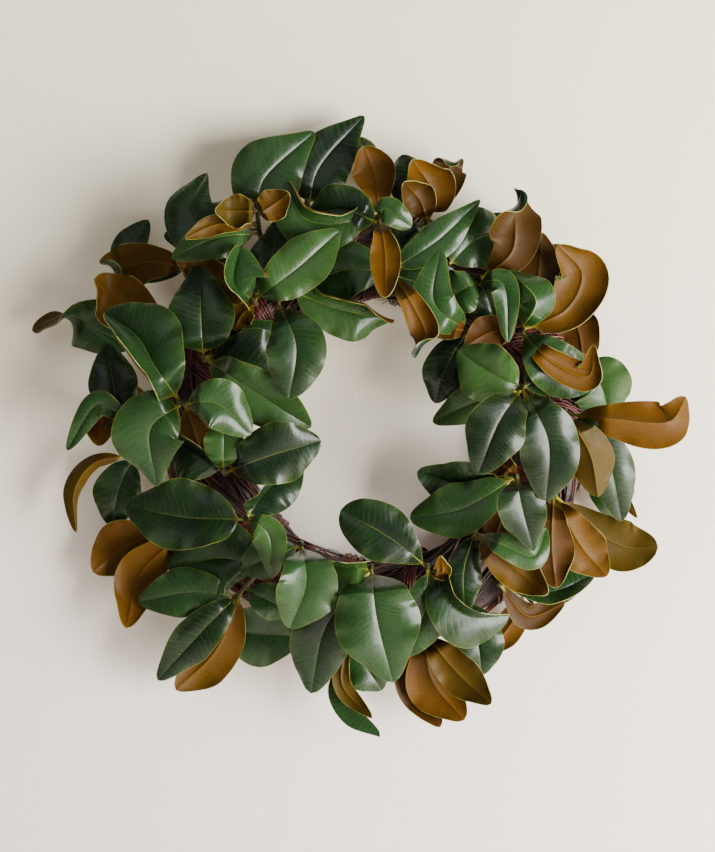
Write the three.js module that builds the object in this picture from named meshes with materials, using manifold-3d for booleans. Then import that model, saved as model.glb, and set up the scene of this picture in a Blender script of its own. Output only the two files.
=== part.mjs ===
// Magnolia wreath: a ring of wound twigs with leafy magnolia sprigs pushed into it.
// Millimetres, +Z up. It hangs against the wall plane y = 0 and its front faces -Y.
import * as THREE from "three";
import { mergeVertices } from "three/addons/utils/BufferGeometryUtils.js";
import Module from "manifold-3d";

const wasm = await Module();
wasm.setup();

// Twig ring: a flattened bundle, wound like a rope, its back lying on the wall
const RING_RADIUS = 170;
const RING_HALF_WIDTH = 43;
const RING_HALF_DEPTH = 30;
const RING_MIDDLE_DEPTH = 17; // less than the half depth, so the back is pressed flat
const RING_STRANDS = 6;
const RING_GROOVE = 0.8; // share of the half width left in the grooves between strands
const RING_STATIONS = 36;
const RING_TURNS = 10; // strand widths that the winding moves on in one trip round the ring

// The nail bears on the top inside of the ring, and the origin lies there on the wall
const HANG_HEIGHT = RING_RADIUS - RING_HALF_WIDTH;

// Places of leaves are given as they look from the front, measured on the wall from the ring's centre.
// What stands off the wall looks larger from the viewpoint, so it is drawn in towards the line of sight.
const VIEW_DISTANCE = 2200;
const SIGHT_X = -17.5;
const SIGHT_Z = 4;

// Leaf blade
const BLADE = 0.8;
const PETIOLE_THICK = 1.8; // added to the blade's thickness at its root
const PETIOLE_END = 0.08; // share of a leaf that is its stalk
const BLADE_OPENS = [0.05, 0.3]; // shares of a leaf between which the flat stalk takes the blade's form
const HOOK_FROM = 0.6; // share of a leaf from which its tip bends
const WAVES = 1.6; // waves of the edge along a leaf
const SLICES = 6; // straight slices in the curl of half a blade
const FRAME_STEPS = 40; // even steps along a leaf at which its direction is known
const PETIOLE_HALF_WIDTH = 1.7;
const TIP_HALF_WIDTH = 0.7;
const FULLNESS = 0.52; // under 1 makes the outline rounder
const TIP_FROM = 0.6; // share of a leaf from which its sides are drawn in to a point
const ALONG = [0, 0.12, 0.3, 0.54, 0.8, 1];
const ACROSS = [-1, -0.5, 0, 0.5, 1];
const ROOMY = 1.08; // share by which a blade is wider than it looks once it waves and leans
const SHORT_LEAF = 60; // leaves up to this wide have fewer stations along them
const PLAIN_LEAF = 70; // leaves up to this wide have only a rib and two edges,
const PLAIN_CURL = 80; // unless their edges curl by more than this
const ALONG_SHORT = [0, 0.18, 0.46, 0.78, 1];
const ACROSS_PLAIN = [-1, 0, 1];

// Stem
const STEM_RADIUS = 3.2;
const STEM_TIP_RADIUS = 2.2;
const STEM_SIDES = 4;
const ROOT_STEP = 3.4; // leaves that share a place on the stem start this far apart along it
const ROOT_ABOVE_RING = 3.5;
const STEM_CLEARANCE = 0.35;
const BUD_LENGTH = 9;
const BUD_RADIUS = 3;
const BUD_WIDEST = 0.35; // share of the bud's length
const BUD_TIP_RADIUS = 0.6;
const SOCKET_WIDTH = 1.1; // times the stem's own radius, before the clearance
const SOCKET_BELOW = 1; // millimetres that the hole goes on below the stem's end
const STEM_SAMPLES = 30;
const ROOT_SAMPLES = 80;
const ROOT_SLACK = 1.5; // millimetres that a root may be off the nearest place

// How leaves lie on each other: every leaf is lifted off what lies behind it
const CELL = 3;
const GRID_HALF = 130;
const LEAF_GAP = 2.6;
const WALL_GAP = 2;
const OWN_STEM_ZONE = 0.3; // share of a leaf that may touch its own sprig
const LIFT_FROM = 0.16; // share of a leaf that stays where its stem holds it
const FULL_LIFT = 0.26; // share of a leaf from which it is lifted fully
const SAMPLES_ALONG = 36;
const SAMPLES_ACROSS = 16;

// Leaf forms: fold of the left and right half at the rib and their curl towards the edge in degrees,
// arch of the rib and rise or fall of the tip in millimetres, the edge's wave as a share of the half width,
// widest place (over 1 lies nearer the tip), and the share by which the sides are drawn in at the tip
const FORMS = {
  open: { fold: [20, 20], curl: [-38, -38], arch: 5, hook: -4, wave: 0.16, widest: 1.12, drawnIn: 0.25 },
  drawn: { fold: [20, 20], curl: [-38, -32], arch: 5, hook: -3, wave: 0.14, widest: 0.9, drawnIn: 0.5 },
  strip: { fold: [22, 22], curl: [-30, -30], arch: 4, hook: -6, wave: 0.2, widest: 1.0, drawnIn: 0.2 },
  tongue: { fold: [6, 6], curl: [-44, -44], arch: -4, hook: 6, wave: 0.14, widest: 1.3, drawnIn: 0 },
  flat: { fold: [14, 14], curl: [-26, -26], arch: 3, hook: 0, wave: 0.13, widest: 1.12, drawnIn: 0.25 },
  spoon: { fold: [20, 18], curl: [-42, -38], arch: 5, hook: -6, wave: 0.1, widest: 1.5, drawnIn: 0.1 },
  broad: { fold: [18, 22], curl: [-36, -42], arch: 6, hook: -4, wave: 0.13, widest: 0.85, drawnIn: 0.3 },
  tilt_left: { fold: [44, 8], curl: [-24, -28], arch: 4, hook: -4, wave: 0.12, widest: 1.1, drawnIn: 0.3 },
  tilt_right: { fold: [8, 44], curl: [-28, -24], arch: 4, hook: -4, wave: 0.12, widest: 1.1, drawnIn: 0.3 },
  boat: { fold: [30, 30], curl: [-8, -8], arch: -5, hook: 5, wave: 0.1, widest: 1.12, drawnIn: 0.25 },
  roof: { fold: [-30, -30], curl: [-8, -8], arch: 10, hook: -10, wave: 0.1, widest: 1.1, drawnIn: 0.3 },
  arched: { fold: [4, 4], curl: [-42, -42], arch: 9, hook: -10, wave: 0.12, widest: 1.12, drawnIn: 0.25 },
  lip_left: { fold: [20, 18], curl: [95, -36], arch: 5, hook: -4, wave: 0.09, widest: 1.12, drawnIn: 0.25 },
  lip_right: { fold: [18, 20], curl: [-36, 95], arch: 5, hook: -4, wave: 0.09, widest: 1.12, drawnIn: 0.25 },
  half: { fold: [14, 62], curl: [-30, 30], arch: 4, hook: -3, wave: 0.1, widest: 1.12, drawnIn: 0.25 },
  half_left: { fold: [62, 14], curl: [30, -30], arch: 4, hook: -3, wave: 0.1, widest: 1.12, drawnIn: 0.25 },
  shut: { fold: [-74, -50], curl: [-10, -10], arch: 0, hook: 0, wave: 0.04, widest: 1.1, drawnIn: 0.3 },
  under: { fold: [18, 18], curl: [-46, -46], arch: -6, hook: 6, wave: 0.18, widest: 1.12, drawnIn: 0.25 },
  under_book: { fold: [36, 36], curl: [-12, -12], arch: 4, hook: -4, wave: 0.14, widest: 1.2, drawnIn: 0.15 },
  under_cup: { fold: [16, 16], curl: [-62, -62], arch: -8, hook: 14, wave: 0.14, widest: 1.12, drawnIn: 0.25 },
  strap: { fold: [30, 30], curl: [30, 30], arch: 2, hook: 6, wave: 0.1, widest: 1.12, drawnIn: 0.25 },
};

// Sprigs: [name, stem points [x, z, depth], leaves]
// A leaf: [layer, form, width, lean, [rolls from root to tip], [x, z of root ... x, z of tip]]
// Layers count from the wall forwards. Lean is how far the tip stands out beyond the root, and a roll of
// 0 turns the green top to the front, 180 the brown underside.
const SPRIGS = [
  ["sprig_left_front", [[-178, 20, 18], [-186, 24, 60], [-194, 27, 92]], [
    [8, "lip_left", 54, -34, [0, 10], [-194, 27, -219, 62, -238, 94, -270, 117]],
    [8.2, "drawn", 68, -26, [0, -8], [-196, 26, -225, 0, -218, -56]],
    [8.4, "open", 48, -14, [0, 10], [-192, 26, -157, 26, -124, -4]],
    [5, "under", 28, -34, [180, 170], [-188, 22, -171, -30]],
  ]],
  ["sprig_left_upper", [[-166, 66, 18], [-170, 70, 50], [-172, 73, 76]], [
    [7.2, "broad", 62, -10, [0, 0], [-172, 73, -174, 114, -176, 164]],
    [7, "tilt_left", 50, -12, [0, 0], [-174, 68, -120, 38, -64, 3]],
    [5, "open", 46, -22, [8, 8], [-168, 72, -129, 84, -85, 100]],
    [5.4, "half", 44, -16, [0, 0], [-166, 70, -125, 64, -83, 52]],
  ]],
  ["sprig_left_low", [[-136, -88, 18], [-132, -90, 50], [-129, -89, 84]], [
    [7, "tilt_left", 66, -26, [0, 6], [-129, -89, -185, -88, -249, -76]],
    [7.2, "open", 32, -16, [0, -20], [-127, -90, -107, -104, -101, -146]],
    [6.6, "half_left", 32, -24, [0, 0], [-128, -84, -107, -60, -73, -34]],
  ]],
  ["sprig_left_middle", [[-148, -44, 18], [-150, -44, 50], [-152, -41, 74]], [
    [7.6, "open", 60, 4, [0, -12], [-150, -44, -103, -25, -54, -11]],
    [6.4, "flat", 38, 2, [0, 0], [-154, -38, -151, 8]],
    [5.2, "half", 34, -14, [0, 0], [-156, -39, -199, -8]],
  ]],
  ["sprig_bottom_left", [[-98, -122, 18], [-104, -128, 46], [-138, -166, 62]], [
    [5, "open", 70, -18, [0, 0], [-104, -126, -151, -128, -207, -138]],
    [6, "open", 46, -20, [0, 0], [-138, -166, -185, -162, -236, -172]],
    [6.4, "open", 40, -20, [0, 10], [-139, -168, -175, -203, -217, -250]],
    [5, "under", 48, -26, [180, 190], [-140, -168, -159, -220, -199, -260]],
    [5.5, "flat", 34, -8, [0, 0], [-136, -166, -107, -170, -79, -182]],
  ]],
  ["sprig_bottom_front", [[-4, -154, 18], [-6, -146, 50], [-4, -138, 74]], [
    [8, "broad", 80, -20, [0, 0], [-3, -138, 2, -190, 18, -252]],
    [6.2, "half", 30, -26, [0, 0], [-6, -140, -58, -136]],
    [6, "open", 58, -26, [0, 0], [-8, -142, -49, -196, -64, -263]],
  ]],
  ["sprig_bottom_curl", [[-22, -186, 18], [-28, -216, 36]], [
    [4, "shut", 20, 14, [-100, -80, -90], [-28, -212, -47, -260, -30, -294, 5, -307]],
    [3.6, "open", 46, 0, [0, 0], [-26, -214, 7, -260]],
    [4.4, "under", 18, 10, [180, 180], [-26, -216, -33, -254, -3, -288]],
  ]],
  ["sprig_bottom_right_front", [[52, -150, 18], [54, -142, 54], [53, -137, 80]], [
    [8, "spoon", 56, 6, [0, 0], [55, -140, 15, -108, -34, -80]],
    [7.2, "open", 46, -20, [0, 0], [54, -138, 49, -182, 27, -227]],
    [8.4, "half_left", 38, -22, [0, 0], [56, -138, 87, -182, 134, -186]],
    [7.6, "under_cup", 18, 0, [180, 180], [58, -154, 67, -142, 66, -126]],
  ]],
  ["sprig_bottom_right_low", [[46, -176, 18], [50, -208, 40]], [
    [6, "under", 52, -10, [180, 180], [49, -204, 57, -250, 89, -290]],
    [6.3, "under", 38, 14, [180, 170], [52, -206, 80, -240, 116, -274]],
    [5, "under", 36, -6, [180, 190], [48, -206, 38, -250, 65, -297]],
  ]],
  ["sprig_right_low_front", [[96, -118, 18], [100, -108, 46], [100, -102, 64]], [
    [7, "arched", 34, 0, [0, 0], [100, -102, 89, -140, 90, -188]],
    [6.4, "under_cup", 40, -16, [180, 180], [98, -108, 137, -136, 173, -164]],
    [7.4, "strip", 26, -8, [0, 0, 10], [96, -104, 131, -116, 159, -126, 171, -98]],
  ]],
  ["sprig_right_low", [[82, -150, 18], [83, -168, 58]], [
    [5, "open", 50, -6, [0, 0], [82, -168, 101, -206, 107, -245]],
  ]],
  ["sprig_right_front", [[140, 40, 18], [144, 40, 54], [147, 42, 82]], [
    [8, "tilt_right", 56, 4, [0, 0], [145, 43, 117, 56, 83, 80]],
    [8.6, "open", 56, -6, [0, 0], [146, 40, 123, 6, 103, -44]],
    [8.3, "open", 58, -20, [0, 0], [150, 40, 173, -10, 171, -71]],
    [6, "open", 34, -30, [0, 0], [138, 40, 100, 28, 58, 8]],
    [5, "open", 44, -20, [0, 0], [144, 44, 173, 56, 203, 74]],
  ]],
  ["sprig_right_inner", [[112, 94, 18], [92, 98, 56]], [
    [5, "open", 42, -4, [0, 0], [90, 98, 73, 66, 60, 27]],
    [6.9, "broad", 40, 2, [0, 0], [92, 100, 59, 128, 66, 181]],
    [5.4, "under", 30, -6, [180, 180], [90, 98, 67, 106, 41, 122]],
  ]],
  ["sprig_right_out", [[184, 14, 18], [192, 16, 72]], [
    [6.2, "tilt_right", 44, -8, [180, 180, 180, 150], [191, 17, 245, 10, 293, 8, 311, 33]],
    [5.8, "under_book", 44, -26, [180, 180], [194, 14, 215, -24, 223, -67]],
    [5, "open", 46, -34, [0, 0], [196, 14, 231, -26, 247, -91]],
    [4, "under", 18, -20, [180, 180], [226, -44, 262, -88]],
  ]],
  ["sprig_right_boats", [[142, -50, 18], [141, -46, 74]], [
    [6, "boat", 46, -22, [10, 10], [140, -44, 91, -54, 42, -42]],
    [6.6, "open", 50, -10, [-6, -6], [138, -48, 89, -78, 35, -88]],
    [7.4, "drawn", 46, -22, [0, 0], [143, -44, 147, -78, 159, -121]],
    [5, "under", 32, -30, [180, 180], [140, -50, 127, -86, 117, -118]],
    [7, "under", 26, -20, [180, 180], [139, -40, 125, -34, 106, -40]],
  ]],
  ["sprig_right_long", [[170, -62, 18], [179, -65, 66]], [
    [4.4, "tongue", 48, -10, [180, 180], [180, -64, 215, -97, 249, -116, 283, -117]],
    [5.4, "under", 42, -26, [180, 180], [178, -68, 177, -115, 181, -158]],
    [4.6, "under", 44, -34, [180, 180], [180, -68, 205, -114, 232, -146]],
  ]],
  ["sprig_right_corner", [[112, -138, 18], [124, -154, 54], [150, -150, 58]], [
    [4, "tilt_right", 34, -14, [20, 20], [126, -156, 175, -162, 220, -144]],
    [3, "under", 26, -18, [180, 180], [122, -154, 153, -186, 190, -172]],
  ]],
  ["sprig_top_front", [[10, 148, 18], [12, 150, 50], [16, 160, 78]], [
    [6.6, "drawn", 34, -16, [0, 0], [18, 164, 63, 190, 105, 230]],
    [7, "under_cup", 30, -6, [185, 185, 160, 40], [16, 156, 38, 124, 51, 94, 38, 73]],
    [5, "open", 58, -24, [0, 0], [12, 158, -31, 160, -77, 138]],
    [4.2, "open", 46, -8, [0, 0], [16, 154, 55, 144, 97, 138]],
  ]],
  ["sprig_top_outer", [[6, 188, 18], [3, 218, 48]], [
    [6.2, "lip_right", 38, 0, [0, 0], [2, 217, -39, 206, -73, 214, -87, 249]],
    [4.4, "tongue", 40, -10, [180, 180], [8, 220, 1, 250, -11, 284]],
    [8, "tongue", 29, 26, [180, 180], [5, 220, 10, 178, 10, 132]],
    [9, "spoon", 26, 4, [0, 0], [-4, 228, 11, 221, 36, 203]],
    [3.7, "spoon", 26, -12, [0, 0], [8, 222, -5, 258, -15, 293]],
    [5.6, "open", 50, -6, [0, 0], [2, 219, -30, 220, -67, 216]],
  ]],
  ["sprig_top_right", [[64, 160, 18], [72, 164, 58]], [
    [5, "open", 60, -26, [0, 0], [68, 162, 101, 190, 135, 200]],
  ]],
  ["sprig_top_cups", [[46, 190, 18], [54, 214, 38]], [
    [5, "under_cup", 50, 8, [180, 180, 180], [54, 212, 57, 240, 37, 270]],
    [4, "under", 34, -6, [180, 180, 180, 60], [57, 212, 69, 240, 75, 264, 85, 269]],
    [5.6, "under_cup", 34, 10, [180, 180], [52, 212, 45, 230, 29, 248]],
    [3.4, "open", 40, -8, [0, 0], [50, 216, 35, 246, 27, 275]],
    [2.6, "open", 40, 0, [0, 0], [50, 210, 36, 192, 23, 172]],
  ]],
  ["sprig_upper_right", [[100, 134, 18], [104, 150, 52]], [
    [6, "under", 50, 4, [180, 180, 180, 100, 20], [102, 152, 137, 178, 141, 218, 147, 240]],
    [5, "open", 44, -20, [0, 0], [104, 148, 87, 140, 69, 128]],
    [7.6, "strip", 26, -2, [0, 0], [106, 154, 129, 144, 133, 88]],
    [4.8, "open", 42, -16, [0, 0], [102, 146, 115, 126, 119, 100]],
  ]],
  ["sprig_right_upper", [[138, 98, 18], [147, 100, 70]], [
    [6.2, "under_cup", 52, -14, [180, 180], [148, 102, 191, 120, 207, 156, 183, 185]],
    [5, "under", 40, -18, [180, 180], [146, 104, 163, 152, 166, 198]],
    [7.2, "roof", 38, 0, [0, 0], [148, 102, 161, 130, 133, 160]],
    [5.8, "open", 52, -20, [0, 0], [150, 96, 180, 64, 217, 42]],
    [6.6, "under_cup", 30, -14, [180, 180], [142, 96, 177, 68, 213, 54, 219, 85]],
    [6.8, "under", 34, -6, [180, 180], [142, 98, 117, 98, 90, 84]],
  ]],
  ["sprig_right_side", [[186, 54, 18], [208, 60, 34]], [
    [2, "under", 40, -14, [180, 180], [206, 60, 205, 94, 193, 130]],
    [4, "open", 60, -16, [0, 0], [203, 57, 225, 46, 235, 12]],
  ]],
  ["sprig_top_left_out", [[-104, 158, 18], [-116, 200, 28], [-118, 222, 34]], [
    [5, "drawn", 66, -16, [0, 0], [-116, 222, -109, 254, -61, 298]],
    [6, "under_cup", 34, -8, [180, 180], [-115, 218, -135, 219, -160, 219]],
    [4, "drawn", 60, -12, [0, 0, 0, 30], [-120, 204, -161, 198, -183, 224, -168, 257]],
    [5.6, "under", 20, 2, [180, 180], [-118, 206, -156, 206, -190, 192]],
    [5.4, "flat", 34, -10, [0, 0], [-114, 196, -159, 192, -203, 172]],
    [3.4, "broad", 44, -6, [0, 0], [-118, 206, -170, 194, -211, 194]],
    [6.3, "under", 32, -8, [180, 180], [-118, 216, -105, 223, -86, 237]],
    [3.2, "open", 34, -8, [0, 0], [-118, 200, -91, 196, -61, 206]],
  ]],
  ["sprig_top_left", [[-60, 188, 18], [-67, 223, 32]], [
    [4, "drawn", 56, -16, [0, 0], [-70, 222, -55, 264, -11, 314]],
  ]],
  ["sprig_upper_left_front", [[-116, 122, 18], [-122, 130, 80]], [
    [6.4, "open", 50, -14, [0, 0], [-122, 131, -80, 160, -36, 199]],
    [7.4, "half_left", 40, -8, [0, 0], [-120, 128, -141, 148, -135, 184]],
    [5.2, "under_cup", 36, -26, [180, 180], [-124, 128, -157, 148, -200, 178]],
    [3.2, "open", 44, -14, [0, 0], [-119, 128, -106, 164, -94, 204]],
    [3, "open", 44, -10, [0, 0], [-128, 130, -160, 152, -192, 164]],
    [5, "under", 26, -20, [180, 180], [-124, 126, -133, 116, -141, 100]],
  ]],
  ["sprig_upper_left_hanging", [[-98, 122, 18], [-97, 127, 78]], [
    [7.6, "open", 58, -4, [0, 0], [-97, 127, -79, 84, -86, 31]],
  ]],
  ["sprig_upper_left_inner", [[-88, 142, 18], [-86, 140, 78]], [
    [5.6, "lip_left", 38, -18, [0, 0, 0, -60], [-84, 140, -33, 120, 19, 110]],
  ]],
  ["sprig_left_corner", [[-148, 124, 18], [-172, 150, 24], [-186, 162, 32]], [
    [4, "under_cup", 44, -14, [180, 180, 180, 60], [-186, 163, -223, 168, -255, 162, -272, 167]],
    [3, "open", 40, -8, [0, 0], [-180, 158, -225, 164, -245, 180, -227, 210]],
  ]],
  ["sprig_left_out", [[-172, 86, 18], [-207, 96, 32], [-235, 80, 36]], [
    [4, "under_cup", 54, -14, [180, 180, 180, 130], [-208, 94, -235, 116, -263, 134, -281, 151]],
    [3.4, "open", 52, -14, [0, 0, 10, 110, 150], [-234, 80, -269, 96, -305, 114, -343, 100]],
  ]],
  ["sprig_left_side", [[-196, 4, 18], [-228, 6, 28], [-252, 4, 40]], [
    [4.2, "open", 46, -16, [0, 0], [-250, 6, -261, 42, -267, 86]],
    [4.6, "under", 44, -16, [180, 180], [-253, 2, -269, 18, -277, -16]],
    [5.2, "strip", 24, -14, [0, 0], [-244, 26, -277, 26, -308, -20]],
    [3.4, "under", 24, 4, [180, 180], [-236, 6, -241, 46]],
  ]],
  ["sprig_left_hanging", [[-194, -26, 18], [-246, -26, 32]], [
    [4.4, "strap", 17, 4, [180, 200], [-246, -26, -281, -33, -301, -62, -299, -102]],
    [3, "open", 46, -6, [0, 0], [-238, -28, -256, -58, -263, -96]],
  ]],
  ["sprig_left_bottom", [[-160, -92, 18], [-190, -106, 30], [-214, -102, 34]], [
    [4, "under", 54, -16, [180, 180], [-214, -102, -249, -116, -282, -142]],
    [4.4, "under_cup", 46, -12, [180, 180], [-190, -108, -233, -142, -249, -198]],
  ]],
  ["sprig_bottom_left_inner", [[-76, -124, 18], [-74, -114, 74]], [
    [7.4, "tilt_right", 58, -10, [0, 0], [-75, -114, -69, -154, -85, -198]],
    [5, "open", 36, -18, [0, 0], [-78, -118, -107, -128, -135, -140]],
  ]],
  ["sprig_right_back", [[184, -14, 18], [225, -18, 25]], [
    [1, "open", 42, -12, [0, 0], [225, -18, 236, -54, 240, -92]],
    [1.2, "under", 34, -12, [180, 180], [223, -16, 232, 8, 230, 40]],
  ]],
  ["sprig_top_right_back", [[136, 132, 18], [158, 160, 24]], [
    [1, "under", 34, -6, [180, 180], [158, 160, 178, 168, 202, 162]],
    [1.2, "open", 40, -12, [0, 0], [156, 158, 140, 190, 112, 214]],
  ]],
  ["sprig_bottom_right_back", [[128, -138, 18], [152, -166, 22]], [
    [1, "open", 36, -12, [0, 0], [152, -160, 182, -156, 210, -134]],
    [1.2, "under", 30, -12, [180, 180], [150, -168, 136, -194, 108, -226]],
  ]],
  ["sprig_bottom_left_low", [[-58, -178, 18], [-66, -206, 37]], [
    [4, "tilt_right", 56, -8, [0, 0], [-68, -206, -112, -204, -157, -200]],
  ]],
];

const LEAF_GREEN = { color: 0x3c5a2e, roughness: 0.32, metalness: 0 };
const TWIG_BROWN = { color: 0x4a2a1e, roughness: 0.8, metalness: 0 };

// Seeded draws between 0 and 1
let seed = 20417;
function draw() {
  seed = (seed * 16807) % 2147483647;
  return seed / 2147483647;
}

const radians = THREE.MathUtils.degToRad;
const clamp01 = (v) => Math.min(1, Math.max(0, v));
const smooth = (from, to, v) => {
  const t = clamp01((v - from) / (to - from));
  return t * t * (3 - 2 * t);
};

// A point on the straight runs between evenly timed points
function between(points, t) {
  const spans = points.length - 1;
  const i = Math.min(spans - 1, Math.floor(t * spans));
  return points[i].map((v, k) => v + (t * spans - i) * (points[i + 1][k] - v));
}

// A point on the smooth curve through evenly timed points
function along(points, t) {
  const spans = points.length - 1;
  const i = Math.min(spans - 1, Math.floor(t * spans));
  const f = t * spans - i;
  const b = points[i];
  const c = points[i + 1];
  const a = points[i - 1] ?? b.map((v, k) => 2 * v - c[k]);
  const d = points[i + 2] ?? c.map((v, k) => 2 * v - b[k]);
  return b.map((v, k) => v + 0.5 * f * (c[k] - a[k]
    + f * (2 * a[k] - 5 * v + 4 * c[k] - d[k] + f * (3 * (v - c[k]) + d[k] - a[k]))));
}

// From the place seen on the wall, with a depth in front of it, to the part's own frame
function place([x, z, depth]) {
  const shrink = 1 - depth / VIEW_DISTANCE;
  return new THREE.Vector3(
    SIGHT_X + (x - SIGHT_X) * shrink, -depth, SIGHT_Z + (z - SIGHT_Z) * shrink - HANG_HEIGHT);
}

// Half width of a leaf along its length
function halfWidth(leaf, t) {
  const blade = clamp01((t - PETIOLE_END) / (1 - PETIOLE_END));
  const outline = Math.sin(Math.PI * blade ** leaf.form.widest);
  const least = PETIOLE_HALF_WIDTH + (TIP_HALF_WIDTH - PETIOLE_HALF_WIDTH) * t;
  const drawn = 1 - leaf.form.drawnIn * smooth(TIP_FROM, 1, t);
  return Math.max(least, leaf.half * Math.max(0, outline) ** FULLNESS * drawn);
}

// The rib's place (x, z, depth) at t
function rib(leaf, t) {
  const [x, z] = along(leaf.path, t);
  const { arch, hook } = leaf.form;
  const depth = leaf.rootDepth + leaf.lean * t + arch * 4 * t * (1 - t)
    + hook * smooth(HOOK_FROM, 1, t) ** 2 + leaf.lift * smooth(0, FULL_LIFT, t);
  return [x, z, depth];
}

// A place seen on the wall as a vector, before it is drawn in
const asSeen = ([x, z, depth]) => new THREE.Vector3(x, -depth, z);

// Directions of the rib and of the blade's right side, from root to tip.
// They face the viewer at the leaf's middle and turn no more than they must from there.
function turnFrames(leaf) {
  const run = Array.from({ length: FRAME_STEPS + 1 }, (_, i) => asSeen(rib(leaf, i / FRAME_STEPS)));
  const steps = run.slice(1).map((p, i) => p.clone().sub(run[i]).normalize());
  const still = new THREE.Vector3();
  const ahead = run.map((_, i) => (steps[i - 1] ?? still).clone().add(steps[i] ?? still).normalize());
  const right = [];
  const middle = FRAME_STEPS / 2;
  right[middle] = ahead[middle].clone().cross(new THREE.Vector3(0, -1, 0)).normalize();
  const carry = (i, from) => {
    right[i] = right[from].clone().addScaledVector(ahead[i], -right[from].dot(ahead[i])).normalize();
  };
  for (let i = middle + 1; i <= FRAME_STEPS; i += 1) carry(i, i - 1);
  for (let i = middle - 1; i >= 0; i -= 1) carry(i, i + 1);
  leaf.frames = { ahead, right };
}

// A point of the blade: s runs from -1 at the left edge to 1 at the right edge
function bladePoint(leaf, t, s) {
  const { ahead, right: rights } = leaf.frames;
  const i = Math.min(FRAME_STEPS - 1, Math.floor(t * FRAME_STEPS));
  const f = t * FRAME_STEPS - i;
  const direction = ahead[i].clone().lerp(ahead[i + 1], f).normalize();
  const flatRight = rights[i].clone().lerp(rights[i + 1], f);
  flatRight.addScaledVector(direction, -flatRight.dot(direction)).normalize();
  const flatUp = flatRight.clone().cross(direction);
  const roll = radians(between(leaf.roll.map((v) => [v]), t)[0]);
  const right = flatRight.clone().multiplyScalar(Math.cos(roll)).addScaledVector(flatUp, Math.sin(roll));
  const up = flatUp.clone().multiplyScalar(Math.cos(roll)).addScaledVector(flatRight, -Math.sin(roll));
  const side = s < 0 ? 0 : 1;
  const sign = s < 0 ? -1 : 1;
  const half = halfWidth(leaf, t);
  const open = smooth(...BLADE_OPENS, t);
  let out = 0;
  let rise = 0;
  for (let k = 0; k < SLICES; k += 1) {
    const q = (Math.abs(s) * (k + 0.5)) / SLICES;
    const angle = radians((leaf.form.fold[side] + leaf.form.curl[side] * q) * open);
    out += (Math.cos(angle) * Math.abs(s) * half) / SLICES;
    rise += (Math.sin(angle) * Math.abs(s) * half) / SLICES;
  }
  rise += leaf.form.wave * half * s * s * open * Math.sin(2 * Math.PI * (WAVES * t + leaf.phase[side]));
  const p = asSeen(rib(leaf, t)).addScaledVector(right, sign * out).addScaledVector(up, rise);
  return [p.x, p.z, -p.y];
}

// The place on a stem nearest to where a leaf should start, kept clear of the roots that are there
function rootOnStem(stem, [x, z], taken) {
  const places = Array.from({ length: ROOT_SAMPLES + 1 }, (_, i) => between(stem, i / ROOT_SAMPLES));
  const away = (p) => Math.hypot(p[0] - x, p[1] - z);
  const outside = places.filter((p) => p[2] > ringFront(p[0], p[1]) + ROOT_ABOVE_RING);
  if (!outside.length) throw new Error("stem stays inside the ring: " + stem);
  const nearest = Math.min(...outside.map(away));
  let i = places.findLastIndex((p) => outside.includes(p) && away(p) <= nearest + ROOT_SLACK);
  const crowded = (p) => taken.some((q) => Math.hypot(p[0] - q[0], p[1] - q[1], p[2] - q[2]) < ROOT_STEP);
  while (crowded(places[i]) && outside.includes(places[i - 1])) i -= 1;
  taken.push(places[i]);
  return places[i];
}

// Reads one sprig of the table
function readSprig([name, stem, rows], index) {
  const taken = [];
  const leaves = rows.map(([layer, form, width, lean, roll, flat]) => {
    const path = [];
    for (let i = 0; i < flat.length; i += 2) path.push([flat[i], flat[i + 1]]);
    const root = rootOnStem(stem, path[0], taken);
    path[0] = [root[0], root[1]];
    const shape = FORMS[form];
    const spread = [0, 1].map((k) => Math.cos(radians(shape.fold[k] + shape.curl[k] / 2)));
    const half = (ROOMY * width) / (spread[0] + spread[1]);
    const plain = width <= PLAIN_LEAF && Math.max(...shape.curl.map(Math.abs)) < PLAIN_CURL;
    const stations = width <= SHORT_LEAF ? ALONG_SHORT : ALONG;
    const leaf = { layer, form: shape, half, across: plain ? ACROSS_PLAIN : ACROSS, stations, lean,
      roll, path, rootDepth: root[2], lift: 0, phase: [draw(), draw()], sprig: index };
    turnFrames(leaf);
    return leaf;
  });
  return { name, stem, leaves, index };
}

// Depth of the ring's front at a distance from its centre
function ringFront(x, z) {
  const off = (Math.hypot(x, z) - RING_RADIUS) / RING_HALF_WIDTH;
  return Math.abs(off) < 1 ? RING_MIDDLE_DEPTH + RING_HALF_DEPTH * Math.sqrt(1 - off * off) : 0;
}

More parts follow.
